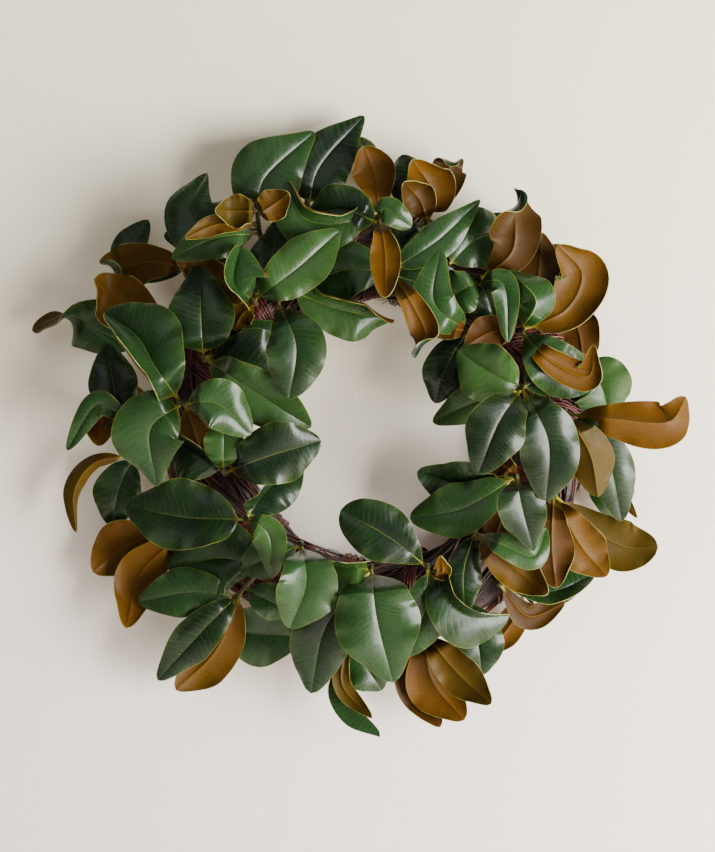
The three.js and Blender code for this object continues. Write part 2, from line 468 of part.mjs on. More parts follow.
// Lifts every leaf, from the back layers forwards, until it clears what lies behind it
function settle(sprigs) {
  const size = 2 * GRID_HALF;
  const cellOf = (x, z) => {
    const i = Math.floor(x / CELL) + GRID_HALF;
    const j = Math.floor(z / CELL) + GRID_HALF;
    return [Math.min(size - 2, Math.max(1, i)), Math.min(size - 2, Math.max(1, j))];
  };
  const heights = sprigs.map(() => new Float32Array(size * size));
  const mark = (grid, x, z, depth) => {
    const [i, j] = cellOf(x, z);
    for (let a = i - 1; a <= i + 1; a += 1)
      for (let b = j - 1; b <= j + 1; b += 1)
        grid[a * size + b] = Math.max(grid[a * size + b], depth);
  };
  for (const sprig of sprigs)
    for (let k = 0; k <= STEM_SAMPLES; k += 1) {
      const [x, z, depth] = between(sprig.stem, k / STEM_SAMPLES);
      mark(heights[sprig.index], x, z, depth + (k < STEM_SAMPLES ? STEM_RADIUS : BUD_LENGTH));
    }
  const own = sprigs.map(() => new Float32Array(size * size));
  const order = sprigs.flatMap((s) => s.leaves).sort((a, b) => a.layer - b.layer);
  for (const leaf of order) {
    let lift = 0;
    const samples = [];
    for (let i = 0; i <= SAMPLES_ALONG; i += 1)
      for (let j = 0; j <= SAMPLES_ACROSS; j += 1)
        samples.push([i / SAMPLES_ALONG, (2 * j) / SAMPLES_ACROSS - 1]);
    for (const [t, s] of samples) {
      const [x, z, depth] = bladePoint(leaf, t, s);
      const [i, j] = cellOf(x, z);
      const cell = i * size + j;
      let behind = Math.max(WALL_GAP, ringFront(x, z));
      heights.forEach((grid, k) => {
        if (k !== leaf.sprig) behind = Math.max(behind, grid[cell]);
      });
      if (t > OWN_STEM_ZONE) behind = Math.max(behind, own[leaf.sprig][cell]);
      const need = behind + LEAF_GAP - depth;
      if (t > LIFT_FROM) lift = Math.max(lift, need / smooth(0, FULL_LIFT, t));
    }
    leaf.lift = lift;
    turnFrames(leaf);
    for (const [t, s] of samples) {
      const [x, z, depth] = bladePoint(leaf, t, s);
      mark(heights[leaf.sprig], x, z, depth);
      if (t > OWN_STEM_ZONE) mark(own[leaf.sprig], x, z, depth);
    }
  }
}

// A closed skin over loops of points; flipped columns split their faces along the other diagonal
function skin(loops, { flip = () => false, ring = false, shift = 0 } = {}) {
  const sides = loops[0].length;
  const positions = loops.flat().flatMap((p) => p.toArray());
  const index = [];
  const last = ring ? loops.length : loops.length - 1;
  for (let i = 0; i < last; i += 1) {
    const wraps = i === loops.length - 1;
    for (let k = 0; k < sides; k += 1) {
      const k2 = (k + 1) % sides;
      const a = i * sides + k;
      const b = i * sides + k2;
      const next = wraps ? 0 : i + 1;
      const turn = wraps ? shift : 0;
      const c = next * sides + ((k + turn) % sides);
      const d = next * sides + ((k2 + turn) % sides);
      if (flip(k)) index.push(a, b, c, b, d, c);
      else index.push(a, b, d, a, d, c);
    }
  }
  if (!ring) {
    // Each end is closed by a strip between its two halves
    for (const [base, front] of [[0, false], [(loops.length - 1) * sides, true]])
      for (let k = 0; k < sides / 2 - 1; k += 1) {
        const a = base + k;
        const b = base + k + 1;
        const c = base + sides - 2 - k;
        const d = base + sides - 1 - k;
        const faces = c === b ? [[a, b, d]] : [[a, b, c], [a, c, d]];
        for (const [p, q, r] of faces) index.push(...(front ? [p, q, r] : [p, r, q]));
      }
  }
  const geometry = new THREE.BufferGeometry();
  geometry.setAttribute("position", new THREE.Float32BufferAttribute(positions, 3));
  geometry.setIndex(index);
  return geometry;
}

// A leaf's solid: its two faces, a blade's thickness apart, and the rim between them
function leafGeometry(leaf) {
  const { across, stations } = leaf;
  const rows = stations.map((t) => across.map((s) => place(bladePoint(leaf, t, s))));
  const loops = rows.map((row, i) => {
    const before = rows[Math.max(0, i - 1)];
    const after = rows[Math.min(rows.length - 1, i + 1)];
    const thick = BLADE + PETIOLE_THICK * (1 - smooth(...BLADE_OPENS, stations[i]));
    const top = [];
    const bottom = [];
    row.forEach((p, j) => {
      const tangent = after[j].clone().sub(before[j]);
      const sideways = row[Math.min(across.length - 1, j + 1)].clone().sub(row[Math.max(0, j - 1)]);
      const normal = sideways.cross(tangent).normalize().multiplyScalar(thick / 2);
      top.push(p.clone().add(normal));
      bottom.push(p.clone().sub(normal));
    });
    return [...top, ...bottom.reverse()];
  });
  return skin(loops, { flip: (k) => k >= across.length });
}

// A round tube along points in the seen frame, with a radius at each
function tube(points, radii, sides) {
  const centres = points.map(place);
  const start = centres[1].clone().sub(centres[0]).normalize();
  let side = new THREE.Vector3(0, 0, 1).cross(start);
  if (side.length() < 0.1) side = new THREE.Vector3(1, 0, 0);
  const loops = centres.map((centre, i) => {
    const direction = centres[Math.min(centres.length - 1, i + 1)].clone()
      .sub(centres[Math.max(0, i - 1)]).normalize();
    side.addScaledVector(direction, -side.dot(direction)).normalize();
    const up = direction.clone().cross(side);
    return Array.from({ length: sides }, (_, k) => {
      const angle = (2 * Math.PI * k) / sides;
      return centre.clone().addScaledVector(side, radii[i] * Math.cos(angle))
        .addScaledVector(up, radii[i] * Math.sin(angle));
    });
  });
  return skin(loops);
}

// A stem with its pointed bud at the end
function stemGeometry(stem) {
  const points = stem.slice();
  const radii = points.map((_, i) => STEM_RADIUS + (STEM_TIP_RADIUS - STEM_RADIUS) * (i / (stem.length - 1)));
  const end = points.at(-1);
  const before = points.at(-2);
  const run = end.map((v, k) => v - before[k]);
  const length = Math.hypot(...run);
  for (const [share, radius] of [[BUD_WIDEST, BUD_RADIUS], [1, BUD_TIP_RADIUS]]) {
    points.push(end.map((v, k) => v + (run[k] / length) * BUD_LENGTH * share));
    radii.push(radius);
  }
  return tube(points, radii, STEM_SIDES);
}

// The room that a stem's lower end takes in the ring
function socketGeometry(stem) {
  const points = stem.slice();
  const first = points[0];
  const run = points[1].map((v, k) => v - first[k]);
  const length = Math.hypot(...run);
  points[0] = first.map((v, k) => v - (run[k] / length) * SOCKET_BELOW);
  return tube(points, points.map(() => STEM_RADIUS * SOCKET_WIDTH + STEM_CLEARANCE), STEM_SIDES);
}

// The wound bundle of twigs: strands stand out of it and wind round it on their way round the ring
function ringGeometry() {
  const sides = 2 * RING_STRANDS;
  const loops = Array.from({ length: RING_STATIONS }, (_, i) => {
    const round = (2 * Math.PI * i) / RING_STATIONS;
    const twist = ((2 * Math.PI * RING_TURNS) / RING_STRANDS) * (i / RING_STATIONS);
    return Array.from({ length: sides }, (_, k) => {
      const angle = (2 * Math.PI * k) / sides + twist;
      const swell = k % 2 ? RING_GROOVE : 1;
      const radius = RING_RADIUS + RING_HALF_WIDTH * swell * Math.cos(angle);
      const depth = Math.max(0, RING_MIDDLE_DEPTH + RING_HALF_DEPTH * swell * Math.sin(angle));
      return new THREE.Vector3(radius * Math.cos(round), -depth, radius * Math.sin(round) - HANG_HEIGHT);
    }).reverse();
  });
  return skin(loops, { ring: true, shift: sides - ((2 * RING_TURNS) % sides) });
}

function solidOf(geometry) {
  const merged = mergeVertices(geometry, 1e-4);
  return new wasm.Manifold(new wasm.Mesh({
    numProp: 3,
    vertProperties: merged.attributes.position.array,
    triVerts: new Uint32Array(merged.index.array),
  }));
}

function meshOf(name, solid, finish) {
  const { vertProperties, triVerts } = solid.getMesh();
  const geometry = new THREE.BufferGeometry();
  geometry.setAttribute("position", new THREE.BufferAttribute(vertProperties, 3));
  geometry.setIndex(new THREE.BufferAttribute(triVerts, 1));
  geometry.computeVertexNormals();
  const mesh = new THREE.Mesh(geometry, new THREE.MeshStandardMaterial(finish));
  mesh.name = name;
  return mesh;
}

const wreath = new THREE.Group();
const sprigs = SPRIGS.map(readSprig);
settle(sprigs);

let twigRing = solidOf(ringGeometry());
for (const { name, stem, leaves } of sprigs) {
  let sprig = solidOf(stemGeometry(stem));
  for (const leaf of leaves) sprig = sprig.add(solidOf(leafGeometry(leaf)));
  wreath.add(meshOf(name, sprig, LEAF_GREEN));
  twigRing = twigRing.subtract(solidOf(socketGeometry(stem)));
}
wreath.add(meshOf("twig_ring", twigRing, TWIG_BROWN));

export default wreath;
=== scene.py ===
# Magnolia wreath: leafy sprigs on a ring of wound twigs, hanging on a pale wall
import math

import bpy
import numpy as np
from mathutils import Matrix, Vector


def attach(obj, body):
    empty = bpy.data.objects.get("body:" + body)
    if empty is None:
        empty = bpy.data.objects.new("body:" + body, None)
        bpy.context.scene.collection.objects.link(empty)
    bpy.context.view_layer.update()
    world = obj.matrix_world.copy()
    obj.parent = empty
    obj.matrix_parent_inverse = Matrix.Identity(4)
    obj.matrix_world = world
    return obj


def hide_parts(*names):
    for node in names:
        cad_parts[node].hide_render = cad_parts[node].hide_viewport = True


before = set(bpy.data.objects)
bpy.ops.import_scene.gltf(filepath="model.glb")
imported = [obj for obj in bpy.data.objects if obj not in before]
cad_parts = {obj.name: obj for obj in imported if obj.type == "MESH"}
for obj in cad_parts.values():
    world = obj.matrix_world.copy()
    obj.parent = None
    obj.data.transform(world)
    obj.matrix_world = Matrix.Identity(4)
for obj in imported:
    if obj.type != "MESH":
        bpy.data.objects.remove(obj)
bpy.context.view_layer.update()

MM = 0.001
DETAIL_SEED = 7

# Twig ring, in millimetres as in the part's source
RING_RADIUS = 170
RING_HALF_WIDTH = 43
RING_HALF_DEPTH = 30
RING_MIDDLE_DEPTH = 17
RING_STRANDS = 6
RING_GROOVE = 0.8
RING_TURNS = 10
HANG_HEIGHT = RING_RADIUS - RING_HALF_WIDTH

# The camera stands where the photograph was taken from
VIEW_DISTANCE = 2200
SIGHT_X = -17.5
SIGHT_Z = 4
VIEW_HEIGHT = 852  # millimetres at the wall that the picture's height takes in
SENSOR = 36

# Leaf blade, in millimetres and shares of a leaf's length or half width
BLADE = 0.7
EDGE_THINNER = 0.3  # share of the blade's thickness that its edge lacks
PETIOLE_THICK = 1.9
PETIOLE_HALF_WIDTH = 1.7
STALK_FLATTEST = 0.06  # keeps the sides of the round stalk from closing up
STALK_ENDS = (0.05, 0.16)
TIP_HALF_WIDTH = 0.5
PETIOLE_END = 0.08
BLADE_OPENS = (0.05, 0.3)
FULLNESS = 0.52  # under 1 makes the outline rounder
TIP_FROM = 0.6  # from this share of a leaf its sides are drawn in to a point
HOOK_FROM = 0.6  # from this share of a leaf its tip bends
WAVES = 1.6  # waves of the edge along a leaf
SLICES = 6  # straight slices in the curl of half a blade
FRAME_STEPS = 40
ROOMY = 1.08  # a blade is this much wider than it looks once it waves and leans
LEAF_ROWS = 40
LEAF_COLUMNS = 26
ROW_CROWD = 0.055
RIB_THICK = 0.9
RIB_SHARE = 0.06
RIB_CROWD = 1.5  # over 1 brings the columns closer together at the rib
RIB_SINK = 0.45  # the rib lies this far below the blade's top
RIB_REACH = 1.3
THICKEST = 2.2
UNEVEN_FROM = (0.1, 0.35)
UNEVEN_SWAY = 0.03
UNEVEN_SIDES = 0.035
RIPPLE = 0.04  # fine waves of the edge
CREASE_ANGLE = math.radians(38)

# Stem and bud
STEM_RADIUS = 3.2
STEM_TIP_RADIUS = 2.2
STEM_STATIONS = 36
SCAR_RISE = 0.1
SCAR_SPACING = 9
ROOT_STEP = 3.4
ROOT_ABOVE_RING = 3.5
ROOT_SAMPLES = 80
ROOT_SLACK = 1.5
BUD_LENGTH = 13
BUD_RADIUS = 2.9
BUD_SUNK = 0.12  # share of the bud that stands in the stem
SCALE_STEP = 0.07  # how far a bud's scales stand off, as a share of its girth

# Wound twigs
TWIGS = 126
TWIG_STATIONS = 84
TWIG_BACK = 1.6  # no twig comes closer to the wall than this
BANDS = 12
BAND_TWIGS = 7
BAND_STEP = 3.4
LOOSE_ENDS = 90
LOOSE_STATIONS = 14
CORE_OUT = -4.5

# Wall and floor, in metres, and light
WALL_Y = 0.001
WALL_TOP = 1.6
WALL_WIDTH = 7
FLOOR_LEVEL = -1.3
FLOOR_REACH = 3
SWEEP = 0.4
WALL_COLOUR = (240, 234, 208)
WALL_COLOUR_LOW = (236, 227, 218)
WALL_FADES = (-0.3, 0.4)  # heights between which the lower colour gives way to the upper
CENTRE = (0, 0, -0.13)
LIGHTS = {  # place, size, watts and colour
    "window_light": ((2.0, -1.45, -0.5), (1.5, 1.5), 255, (1.0, 0.97, 0.93)),
    "room_light": ((-0.6, -2.4, 1.4), (2.4, 1.6), 12, (1.0, 0.98, 0.96)),
    "back_light": ((0.2, 2.2, 0.6), (2.2, 2.2), 110, (1.0, 0.98, 0.96)),
}
WORLD_COLOUR = (1.0, 0.97, 0.94, 1)
WORLD_LIGHT = 0.26
WORLD_SEEN = 1.6  # how bright the room beyond the wall looks

# How leaves lie on each other, worked out as in the part's source
LEAF_SEED = 20417
STEM_SAMPLES = 30
STEM_BUD = 9  # room kept for a bud over the stem's end
CELL = 3
GRID_HALF = 130
LEAF_GAP = 2.6
WALL_GAP = 2
OWN_STEM_ZONE = 0.3
LIFT_FROM = 0.16
FULL_LIFT = 0.26
SAMPLES_ALONG = 36
SAMPLES_ACROSS = 16

# Leaf forms: fold of the left and right half at the rib and their curl towards the edge in degrees,
# arch of the rib and rise or fall of the tip in millimetres, the edge's wave as a share of the half width,
# where the blade is widest (over 1 is nearer to the tip) and the share by which its tip is drawn in
FORM_PARTS = ("fold", "curl", "arch", "hook", "wave", "widest", "drawn_in")
FORMS = {name: dict(zip(FORM_PARTS, row)) for name, row in {
    "open": [[20, 20], [-38, -38], 5, -4, 0.16, 1.12, 0.25],
    "drawn": [[20, 20], [-38, -32], 5, -3, 0.14, 0.9, 0.5],
    "strip": [[22, 22], [-30, -30], 4, -6, 0.2, 1.0, 0.2],
    "tongue": [[6, 6], [-44, -44], -4, 6, 0.14, 1.3, 0],
    "flat": [[14, 14], [-26, -26], 3, 0, 0.13, 1.12, 0.25],
    "spoon": [[20, 18], [-42, -38], 5, -6, 0.1, 1.5, 0.1],
    "broad": [[18, 22], [-36, -42], 6, -4, 0.13, 0.85, 0.3],
    "tilt_left": [[44, 8], [-24, -28], 4, -4, 0.12, 1.1, 0.3],
    "tilt_right": [[8, 44], [-28, -24], 4, -4, 0.12, 1.1, 0.3],
    "boat": [[30, 30], [-8, -8], -5, 5, 0.1, 1.12, 0.25],
    "roof": [[-30, -30], [-8, -8], 10, -10, 0.1, 1.1, 0.3],
    "arched": [[4, 4], [-42, -42], 9, -10, 0.12, 1.12, 0.25],
    "lip_left": [[20, 18], [95, -36], 5, -4, 0.09, 1.12, 0.25],
    "lip_right": [[18, 20], [-36, 95], 5, -4, 0.09, 1.12, 0.25],
    "half": [[14, 62], [-30, 30], 4, -3, 0.1, 1.12, 0.25],
    "half_left": [[62, 14], [30, -30], 4, -3, 0.1, 1.12, 0.25],
    "shut": [[-74, -50], [-10, -10], 0, 0, 0.04, 1.1, 0.3],
    "under": [[18, 18], [-46, -46], -6, 6, 0.18, 1.12, 0.25],
    "under_book": [[36, 36], [-12, -12], 4, -4, 0.14, 1.2, 0.15],
    "under_cup": [[16, 16], [-62, -62], -8, 14, 0.14, 1.12, 0.25],
    "strap": [[30, 30], [30, 30], 2, 6, 0.1, 1.12, 0.25],
}.items()}

# Sprigs: [name, stem points [x, z, depth], leaves], as in the part's source
# A leaf: [layer, form, width, lean, rolls from root to tip, [x, z of root ... x, z of tip]]
SPRIGS = [
  ["sprig_left_front", [[-178, 20, 18], [-186, 24, 60], [-194, 27, 92]], [
    [8, "lip_left", 54, -34, [0, 10], [-194, 27, -219, 62, -238, 94, -270, 117]],
    [8.2, "drawn", 68, -26, [0, -8], [-196, 26, -225, 0, -218, -56]],
    [8.4, "open", 48, -14, [0, 10], [-192, 26, -157, 26, -124, -4]],
    [5, "under", 28, -34, [180, 170], [-188, 22, -171, -30]],
  ]],
  ["sprig_left_upper", [[-166, 66, 18], [-170, 70, 50], [-172, 73, 76]], [
    [7.2, "broad", 62, -10, [0, 0], [-172, 73, -174, 114, -176, 164]],
    [7, "tilt_left", 50, -12, [0, 0], [-174, 68, -120, 38, -64, 3]],
    [5, "open", 46, -22, [8, 8], [-168, 72, -129, 84, -85, 100]],
    [5.4, "half", 44, -16, [0, 0], [-166, 70, -125, 64, -83, 52]],
  ]],
  ["sprig_left_low", [[-136, -88, 18], [-132, -90, 50], [-129, -89, 84]], [
    [7, "tilt_left", 66, -26, [0, 6], [-129, -89, -185, -88, -249, -76]],
    [7.2, "open", 32, -16, [0, -20], [-127, -90, -107, -104, -101, -146]],
    [6.6, "half_left", 32, -24, [0, 0], [-128, -84, -107, -60, -73, -34]],
  ]],
  ["sprig_left_middle", [[-148, -44, 18], [-150, -44, 50], [-152, -41, 74]], [
    [7.6, "open", 60, 4, [0, -12], [-150, -44, -103, -25, -54, -11]],
    [6.4, "flat", 38, 2, [0, 0], [-154, -38, -151, 8]],
    [5.2, "half", 34, -14, [0, 0], [-156, -39, -199, -8]],
  ]],
  ["sprig_bottom_left", [[-98, -122, 18], [-104, -128, 46], [-138, -166, 62]], [
    [5, "open", 70, -18, [0, 0], [-104, -126, -151, -128, -207, -138]],
    [6, "open", 46, -20, [0, 0], [-138, -166, -185, -162, -236, -172]],
    [6.4, "open", 40, -20, [0, 10], [-139, -168, -175, -203, -217, -250]],
    [5, "under", 48, -26, [180, 190], [-140, -168, -159, -220, -199, -260]],
    [5.5, "flat", 34, -8, [0, 0], [-136, -166, -107, -170, -79, -182]],
  ]],
  ["sprig_bottom_front", [[-4, -154, 18], [-6, -146, 50], [-4, -138, 74]], [
    [8, "broad", 80, -20, [0, 0], [-3, -138, 2, -190, 18, -252]],
    [6.2, "half", 30, -26, [0, 0], [-6, -140, -58, -136]],
    [6, "open", 58, -26, [0, 0], [-8, -142, -49, -196, -64, -263]],
  ]],
  ["sprig_bottom_curl", [[-22, -186, 18], [-28, -216, 36]], [
    [4, "shut", 20, 14, [-100, -80, -90], [-28, -212, -47, -260, -30, -294, 5, -307]],
    [3.6, "open", 46, 0, [0, 0], [-26, -214, 7, -260]],
    [4.4, "under", 18, 10, [180, 180], [-26, -216, -33, -254, -3, -288]],
  ]],
  ["sprig_bottom_right_front", [[52, -150, 18], [54, -142, 54], [53, -137, 80]], [
    [8, "spoon", 56, 6, [0, 0], [55, -140, 15, -108, -34, -80]],
    [7.2, "open", 46, -20, [0, 0], [54, -138, 49, -182, 27, -227]],
    [8.4, "half_left", 38, -22, [0, 0], [56, -138, 87, -182, 134, -186]],
    [7.6, "under_cup", 18, 0, [180, 180], [58, -154, 67, -142, 66, -126]],
  ]],
  ["sprig_bottom_right_low", [[46, -176, 18], [50, -208, 40]], [
    [6, "under", 52, -10, [180, 180], [49, -204, 57, -250, 89, -290]],
    [6.3, "under", 38, 14, [180, 170], [52, -206, 80, -240, 116, -274]],
    [5, "under", 36, -6, [180, 190], [48, -206, 38, -250, 65, -297]],
  ]],
  ["sprig_right_low_front", [[96, -118, 18], [100, -108, 46], [100, -102, 64]], [
    [7, "arched", 34, 0, [0, 0], [100, -102, 89, -140, 90, -188]],
    [6.4, "under_cup", 40, -16, [180, 180], [98, -108, 137, -136, 173, -164]],
    [7.4, "strip", 26, -8, [0, 0, 10], [96, -104, 131, -116, 159, -126, 171, -98]],
  ]],
  ["sprig_right_low", [[82, -150, 18], [83, -168, 58]], [
    [5, "open", 50, -6, [0, 0], [82, -168, 101, -206, 107, -245]],
  ]],
  ["sprig_right_front", [[140, 40, 18], [144, 40, 54], [147, 42, 82]], [
    [8, "tilt_right", 56, 4, [0, 0], [145, 43, 117, 56, 83, 80]],
    [8.6, "open", 56, -6, [0, 0], [146, 40, 123, 6, 103, -44]],
    [8.3, "open", 58, -20, [0, 0], [150, 40, 173, -10, 171, -71]],
    [6, "open", 34, -30, [0, 0], [138, 40, 100, 28, 58, 8]],
    [5, "open", 44, -20, [0, 0], [144, 44, 173, 56, 203, 74]],
  ]],
  ["sprig_right_inner", [[112, 94, 18], [92, 98, 56]], [
    [5, "open", 42, -4, [0, 0], [90, 98, 73, 66, 60, 27]],
    [6.9, "broad", 40, 2, [0, 0], [92, 100, 59, 128, 66, 181]],
    [5.4, "under", 30, -6, [180, 180], [90, 98, 67, 106, 41, 122]],
  ]],
  ["sprig_right_out", [[184, 14, 18], [192, 16, 72]], [
    [6.2, "tilt_right", 44, -8, [180, 180, 180, 150], [191, 17, 245, 10, 293, 8, 311, 33]],
    [5.8, "under_book", 44, -26, [180, 180], [194, 14, 215, -24, 223, -67]],
    [5, "open", 46, -34, [0, 0], [196, 14, 231, -26, 247, -91]],
    [4, "under", 18, -20, [180, 180], [226, -44, 262, -88]],
  ]],
  ["sprig_right_boats", [[142, -50, 18], [141, -46, 74]], [
    [6, "boat", 46, -22, [10, 10], [140, -44, 91, -54, 42, -42]],
    [6.6, "open", 50, -10, [-6, -6], [138, -48, 89, -78, 35, -88]],
    [7.4, "drawn", 46, -22, [0, 0], [143, -44, 147, -78, 159, -121]],
    [5, "under", 32, -30, [180, 180], [140, -50, 127, -86, 117, -118]],
    [7, "under", 26, -20, [180, 180], [139, -40, 125, -34, 106, -40]],
  ]],
  ["sprig_right_long", [[170, -62, 18], [179, -65, 66]], [
    [4.4, "tongue", 48, -10, [180, 180], [180, -64, 215, -97, 249, -116, 283, -117]],
    [5.4, "under", 42, -26, [180, 180], [178, -68, 177, -115, 181, -158]],
    [4.6, "under", 44, -34, [180, 180], [180, -68, 205, -114, 232, -146]],
  ]],
  ["sprig_right_corner", [[112, -138, 18], [124, -154, 54], [150, -150, 58]], [
    [4, "tilt_right", 34, -14, [20, 20], [126, -156, 175, -162, 220, -144]],
    [3, "under", 26, -18, [180, 180], [122, -154, 153, -186, 190, -172]],
  ]],
  ["sprig_top_front", [[10, 148, 18], [12, 150, 50], [16, 160, 78]], [
    [6.6, "drawn", 34, -16, [0, 0], [18, 164, 63, 190, 105, 230]],
    [7, "under_cup", 30, -6, [185, 185, 160, 40], [16, 156, 38, 124, 51, 94, 38, 73]],
    [5, "open", 58, -24, [0, 0], [12, 158, -31, 160, -77, 138]],
    [4.2, "open", 46, -8, [0, 0], [16, 154, 55, 144, 97, 138]],
  ]],
  ["sprig_top_outer", [[6, 188, 18], [3, 218, 48]], [
    [6.2, "lip_right", 38, 0, [0, 0], [2, 217, -39, 206, -73, 214, -87, 249]],
    [4.4, "tongue", 40, -10, [180, 180], [8, 220, 1, 250, -11, 284]],
    [8, "tongue", 29, 26, [180, 180], [5, 220, 10, 178, 10, 132]],
    [9, "spoon", 26, 4, [0, 0], [-4, 228, 11, 221, 36, 203]],
    [3.7, "spoon", 26, -12, [0, 0], [8, 222, -5, 258, -15, 293]],
    [5.6, "open", 50, -6, [0, 0], [2, 219, -30, 220, -67, 216]],
  ]],
  ["sprig_top_right", [[64, 160, 18], [72, 164, 58]], [
    [5, "open", 60, -26, [0, 0], [68, 162, 101, 190, 135, 200]],
  ]],
  ["sprig_top_cups", [[46, 190, 18], [54, 214, 38]], [
    [5, "under_cup", 50, 8, [180, 180, 180], [54, 212, 57, 240, 37, 270]],
    [4, "under", 34, -6, [180, 180, 180, 60], [57, 212, 69, 240, 75, 264, 85, 269]],
    [5.6, "under_cup", 34, 10, [180, 180], [52, 212, 45, 230, 29, 248]],
    [3.4, "open", 40, -8, [0, 0], [50, 216, 35, 246, 27, 275]],
    [2.6, "open", 40, 0, [0, 0], [50, 210, 36, 192, 23, 172]],
  ]],
  ["sprig_upper_right", [[100, 134, 18], [104, 150, 52]], [
    [6, "under", 50, 4, [180, 180, 180, 100, 20], [102, 152, 137, 178, 141, 218, 147, 240]],
    [5, "open", 44, -20, [0, 0], [104, 148, 87, 140, 69, 128]],
    [7.6, "strip", 26, -2, [0, 0], [106, 154, 129, 144, 133, 88]],
    [4.8, "open", 42, -16, [0, 0], [102, 146, 115, 126, 119, 100]],
  ]],
  ["sprig_right_upper", [[138, 98, 18], [147, 100, 70]], [
    [6.2, "under_cup", 52, -14, [180, 180], [148, 102, 191, 120, 207, 156, 183, 185]],
    [5, "under", 40, -18, [180, 180], [146, 104, 163, 152, 166, 198]],
    [7.2, "roof", 38, 0, [0, 0], [148, 102, 161, 130, 133, 160]],
    [5.8, "open", 52, -20, [0, 0], [150, 96, 180, 64, 217, 42]],
    [6.6, "under_cup", 30, -14, [180, 180], [142, 96, 177, 68, 213, 54, 219, 85]],
    [6.8, "under", 34, -6, [180, 180], [142, 98, 117, 98, 90, 84]],
  ]],
  ["sprig_right_side", [[186, 54, 18], [208, 60, 34]], [
    [2, "under", 40, -14, [180, 180], [206, 60, 205, 94, 193, 130]],
    [4, "open", 60, -16, [0, 0], [203, 57, 225, 46, 235, 12]],
  ]],
  ["sprig_top_left_out", [[-104, 158, 18], [-116, 200, 28], [-118, 222, 34]], [
    [5, "drawn", 66, -16, [0, 0], [-116, 222, -109, 254, -61, 298]],
    [6, "under_cup", 34, -8, [180, 180], [-115, 218, -135, 219, -160, 219]],
    [4, "drawn", 60, -12, [0, 0, 0, 30], [-120, 204, -161, 198, -183, 224, -168, 257]],
    [5.6, "under", 20, 2, [180, 180], [-118, 206, -156, 206, -190, 192]],
    [5.4, "flat", 34, -10, [0, 0], [-114, 196, -159, 192, -203, 172]],
    [3.4, "broad", 44, -6, [0, 0], [-118, 206, -170, 194, -211, 194]],
    [6.3, "under", 32, -8, [180, 180], [-118, 216, -105, 223, -86, 237]],
    [3.2, "open", 34, -8, [0, 0], [-118, 200, -91, 196, -61, 206]],
  ]],
  ["sprig_top_left", [[-60, 188, 18], [-67, 223, 32]], [
    [4, "drawn", 56, -16, [0, 0], [-70, 222, -55, 264, -11, 314]],
  ]],
  ["sprig_upper_left_front", [[-116, 122, 18], [-122, 130, 80]], [
    [6.4, "open", 50, -14, [0, 0], [-122, 131, -80, 160, -36, 199]],
    [7.4, "half_left", 40, -8, [0, 0], [-120, 128, -141, 148, -135, 184]],
    [5.2, "under_cup", 36, -26, [180, 180], [-124, 128, -157, 148, -200, 178]],
    [3.2, "open", 44, -14, [0, 0], [-119, 128, -106, 164, -94, 204]],
    [3, "open", 44, -10, [0, 0], [-128, 130, -160, 152, -192, 164]],
    [5, "under", 26, -20, [180, 180], [-124, 126, -133, 116, -141, 100]],
  ]],
  ["sprig_upper_left_hanging", [[-98, 122, 18], [-97, 127, 78]], [
    [7.6, "open", 58, -4, [0, 0], [-97, 127, -79, 84, -86, 31]],
  ]],
  ["sprig_upper_left_inner", [[-88, 142, 18], [-86, 140, 78]], [
    [5.6, "lip_left", 38, -18, [0, 0, 0, -60], [-84, 140, -33, 120, 19, 110]],
  ]],
  ["sprig_left_corner", [[-148, 124, 18], [-172, 150, 24], [-186, 162, 32]], [
    [4, "under_cup", 44, -14, [180, 180, 180, 60], [-186, 163, -223, 168, -255, 162, -272, 167]],
    [3, "open", 40, -8, [0, 0], [-180, 158, -225, 164, -245, 180, -227, 210]],
  ]],
  ["sprig_left_out", [[-172, 86, 18], [-207, 96, 32], [-235, 80, 36]], [
    [4, "under_cup", 54, -14, [180, 180, 180, 130], [-208, 94, -235, 116, -263, 134, -281, 151]],
    [3.4, "open", 52, -14, [0, 0, 10, 110, 150], [-234, 80, -269, 96, -305, 114, -343, 100]],
  ]],
  ["sprig_left_side", [[-196, 4, 18], [-228, 6, 28], [-252, 4, 40]], [
    [4.2, "open", 46, -16, [0, 0], [-250, 6, -261, 42, -267, 86]],
    [4.6, "under", 44, -16, [180, 180], [-253, 2, -269, 18, -277, -16]],
    [5.2, "strip", 24, -14, [0, 0], [-244, 26, -277, 26, -308, -20]],
    [3.4, "under", 24, 4, [180, 180], [-236, 6, -241, 46]],
  ]],
  ["sprig_left_hanging", [[-194, -26, 18], [-246, -26, 32]], [
    [4.4, "strap", 17, 4, [180, 200], [-246, -26, -281, -33, -301, -62, -299, -102]],
    [3, "open", 46, -6, [0, 0], [-238, -28, -256, -58, -263, -96]],
  ]],
  ["sprig_left_bottom", [[-160, -92, 18], [-190, -106, 30], [-214, -102, 34]], [
    [4, "under", 54, -16, [180, 180], [-214, -102, -249, -116, -282, -142]],
    [4.4, "under_cup", 46, -12, [180, 180], [-190, -108, -233, -142, -249, -198]],
  ]],
  ["sprig_bottom_left_inner", [[-76, -124, 18], [-74, -114, 74]], [
    [7.4, "tilt_right", 58, -10, [0, 0], [-75, -114, -69, -154, -85, -198]],
    [5, "open", 36, -18, [0, 0], [-78, -118, -107, -128, -135, -140]],
  ]],
  ["sprig_right_back", [[184, -14, 18], [225, -18, 25]], [
    [1, "open", 42, -12, [0, 0], [225, -18, 236, -54, 240, -92]],
    [1.2, "under", 34, -12, [180, 180], [223, -16, 232, 8, 230, 40]],
  ]],
  ["sprig_top_right_back", [[136, 132, 18], [158, 160, 24]], [
    [1, "under", 34, -6, [180, 180], [158, 160, 178, 168, 202, 162]],
    [1.2, "open", 40, -12, [0, 0], [156, 158, 140, 190, 112, 214]],
  ]],
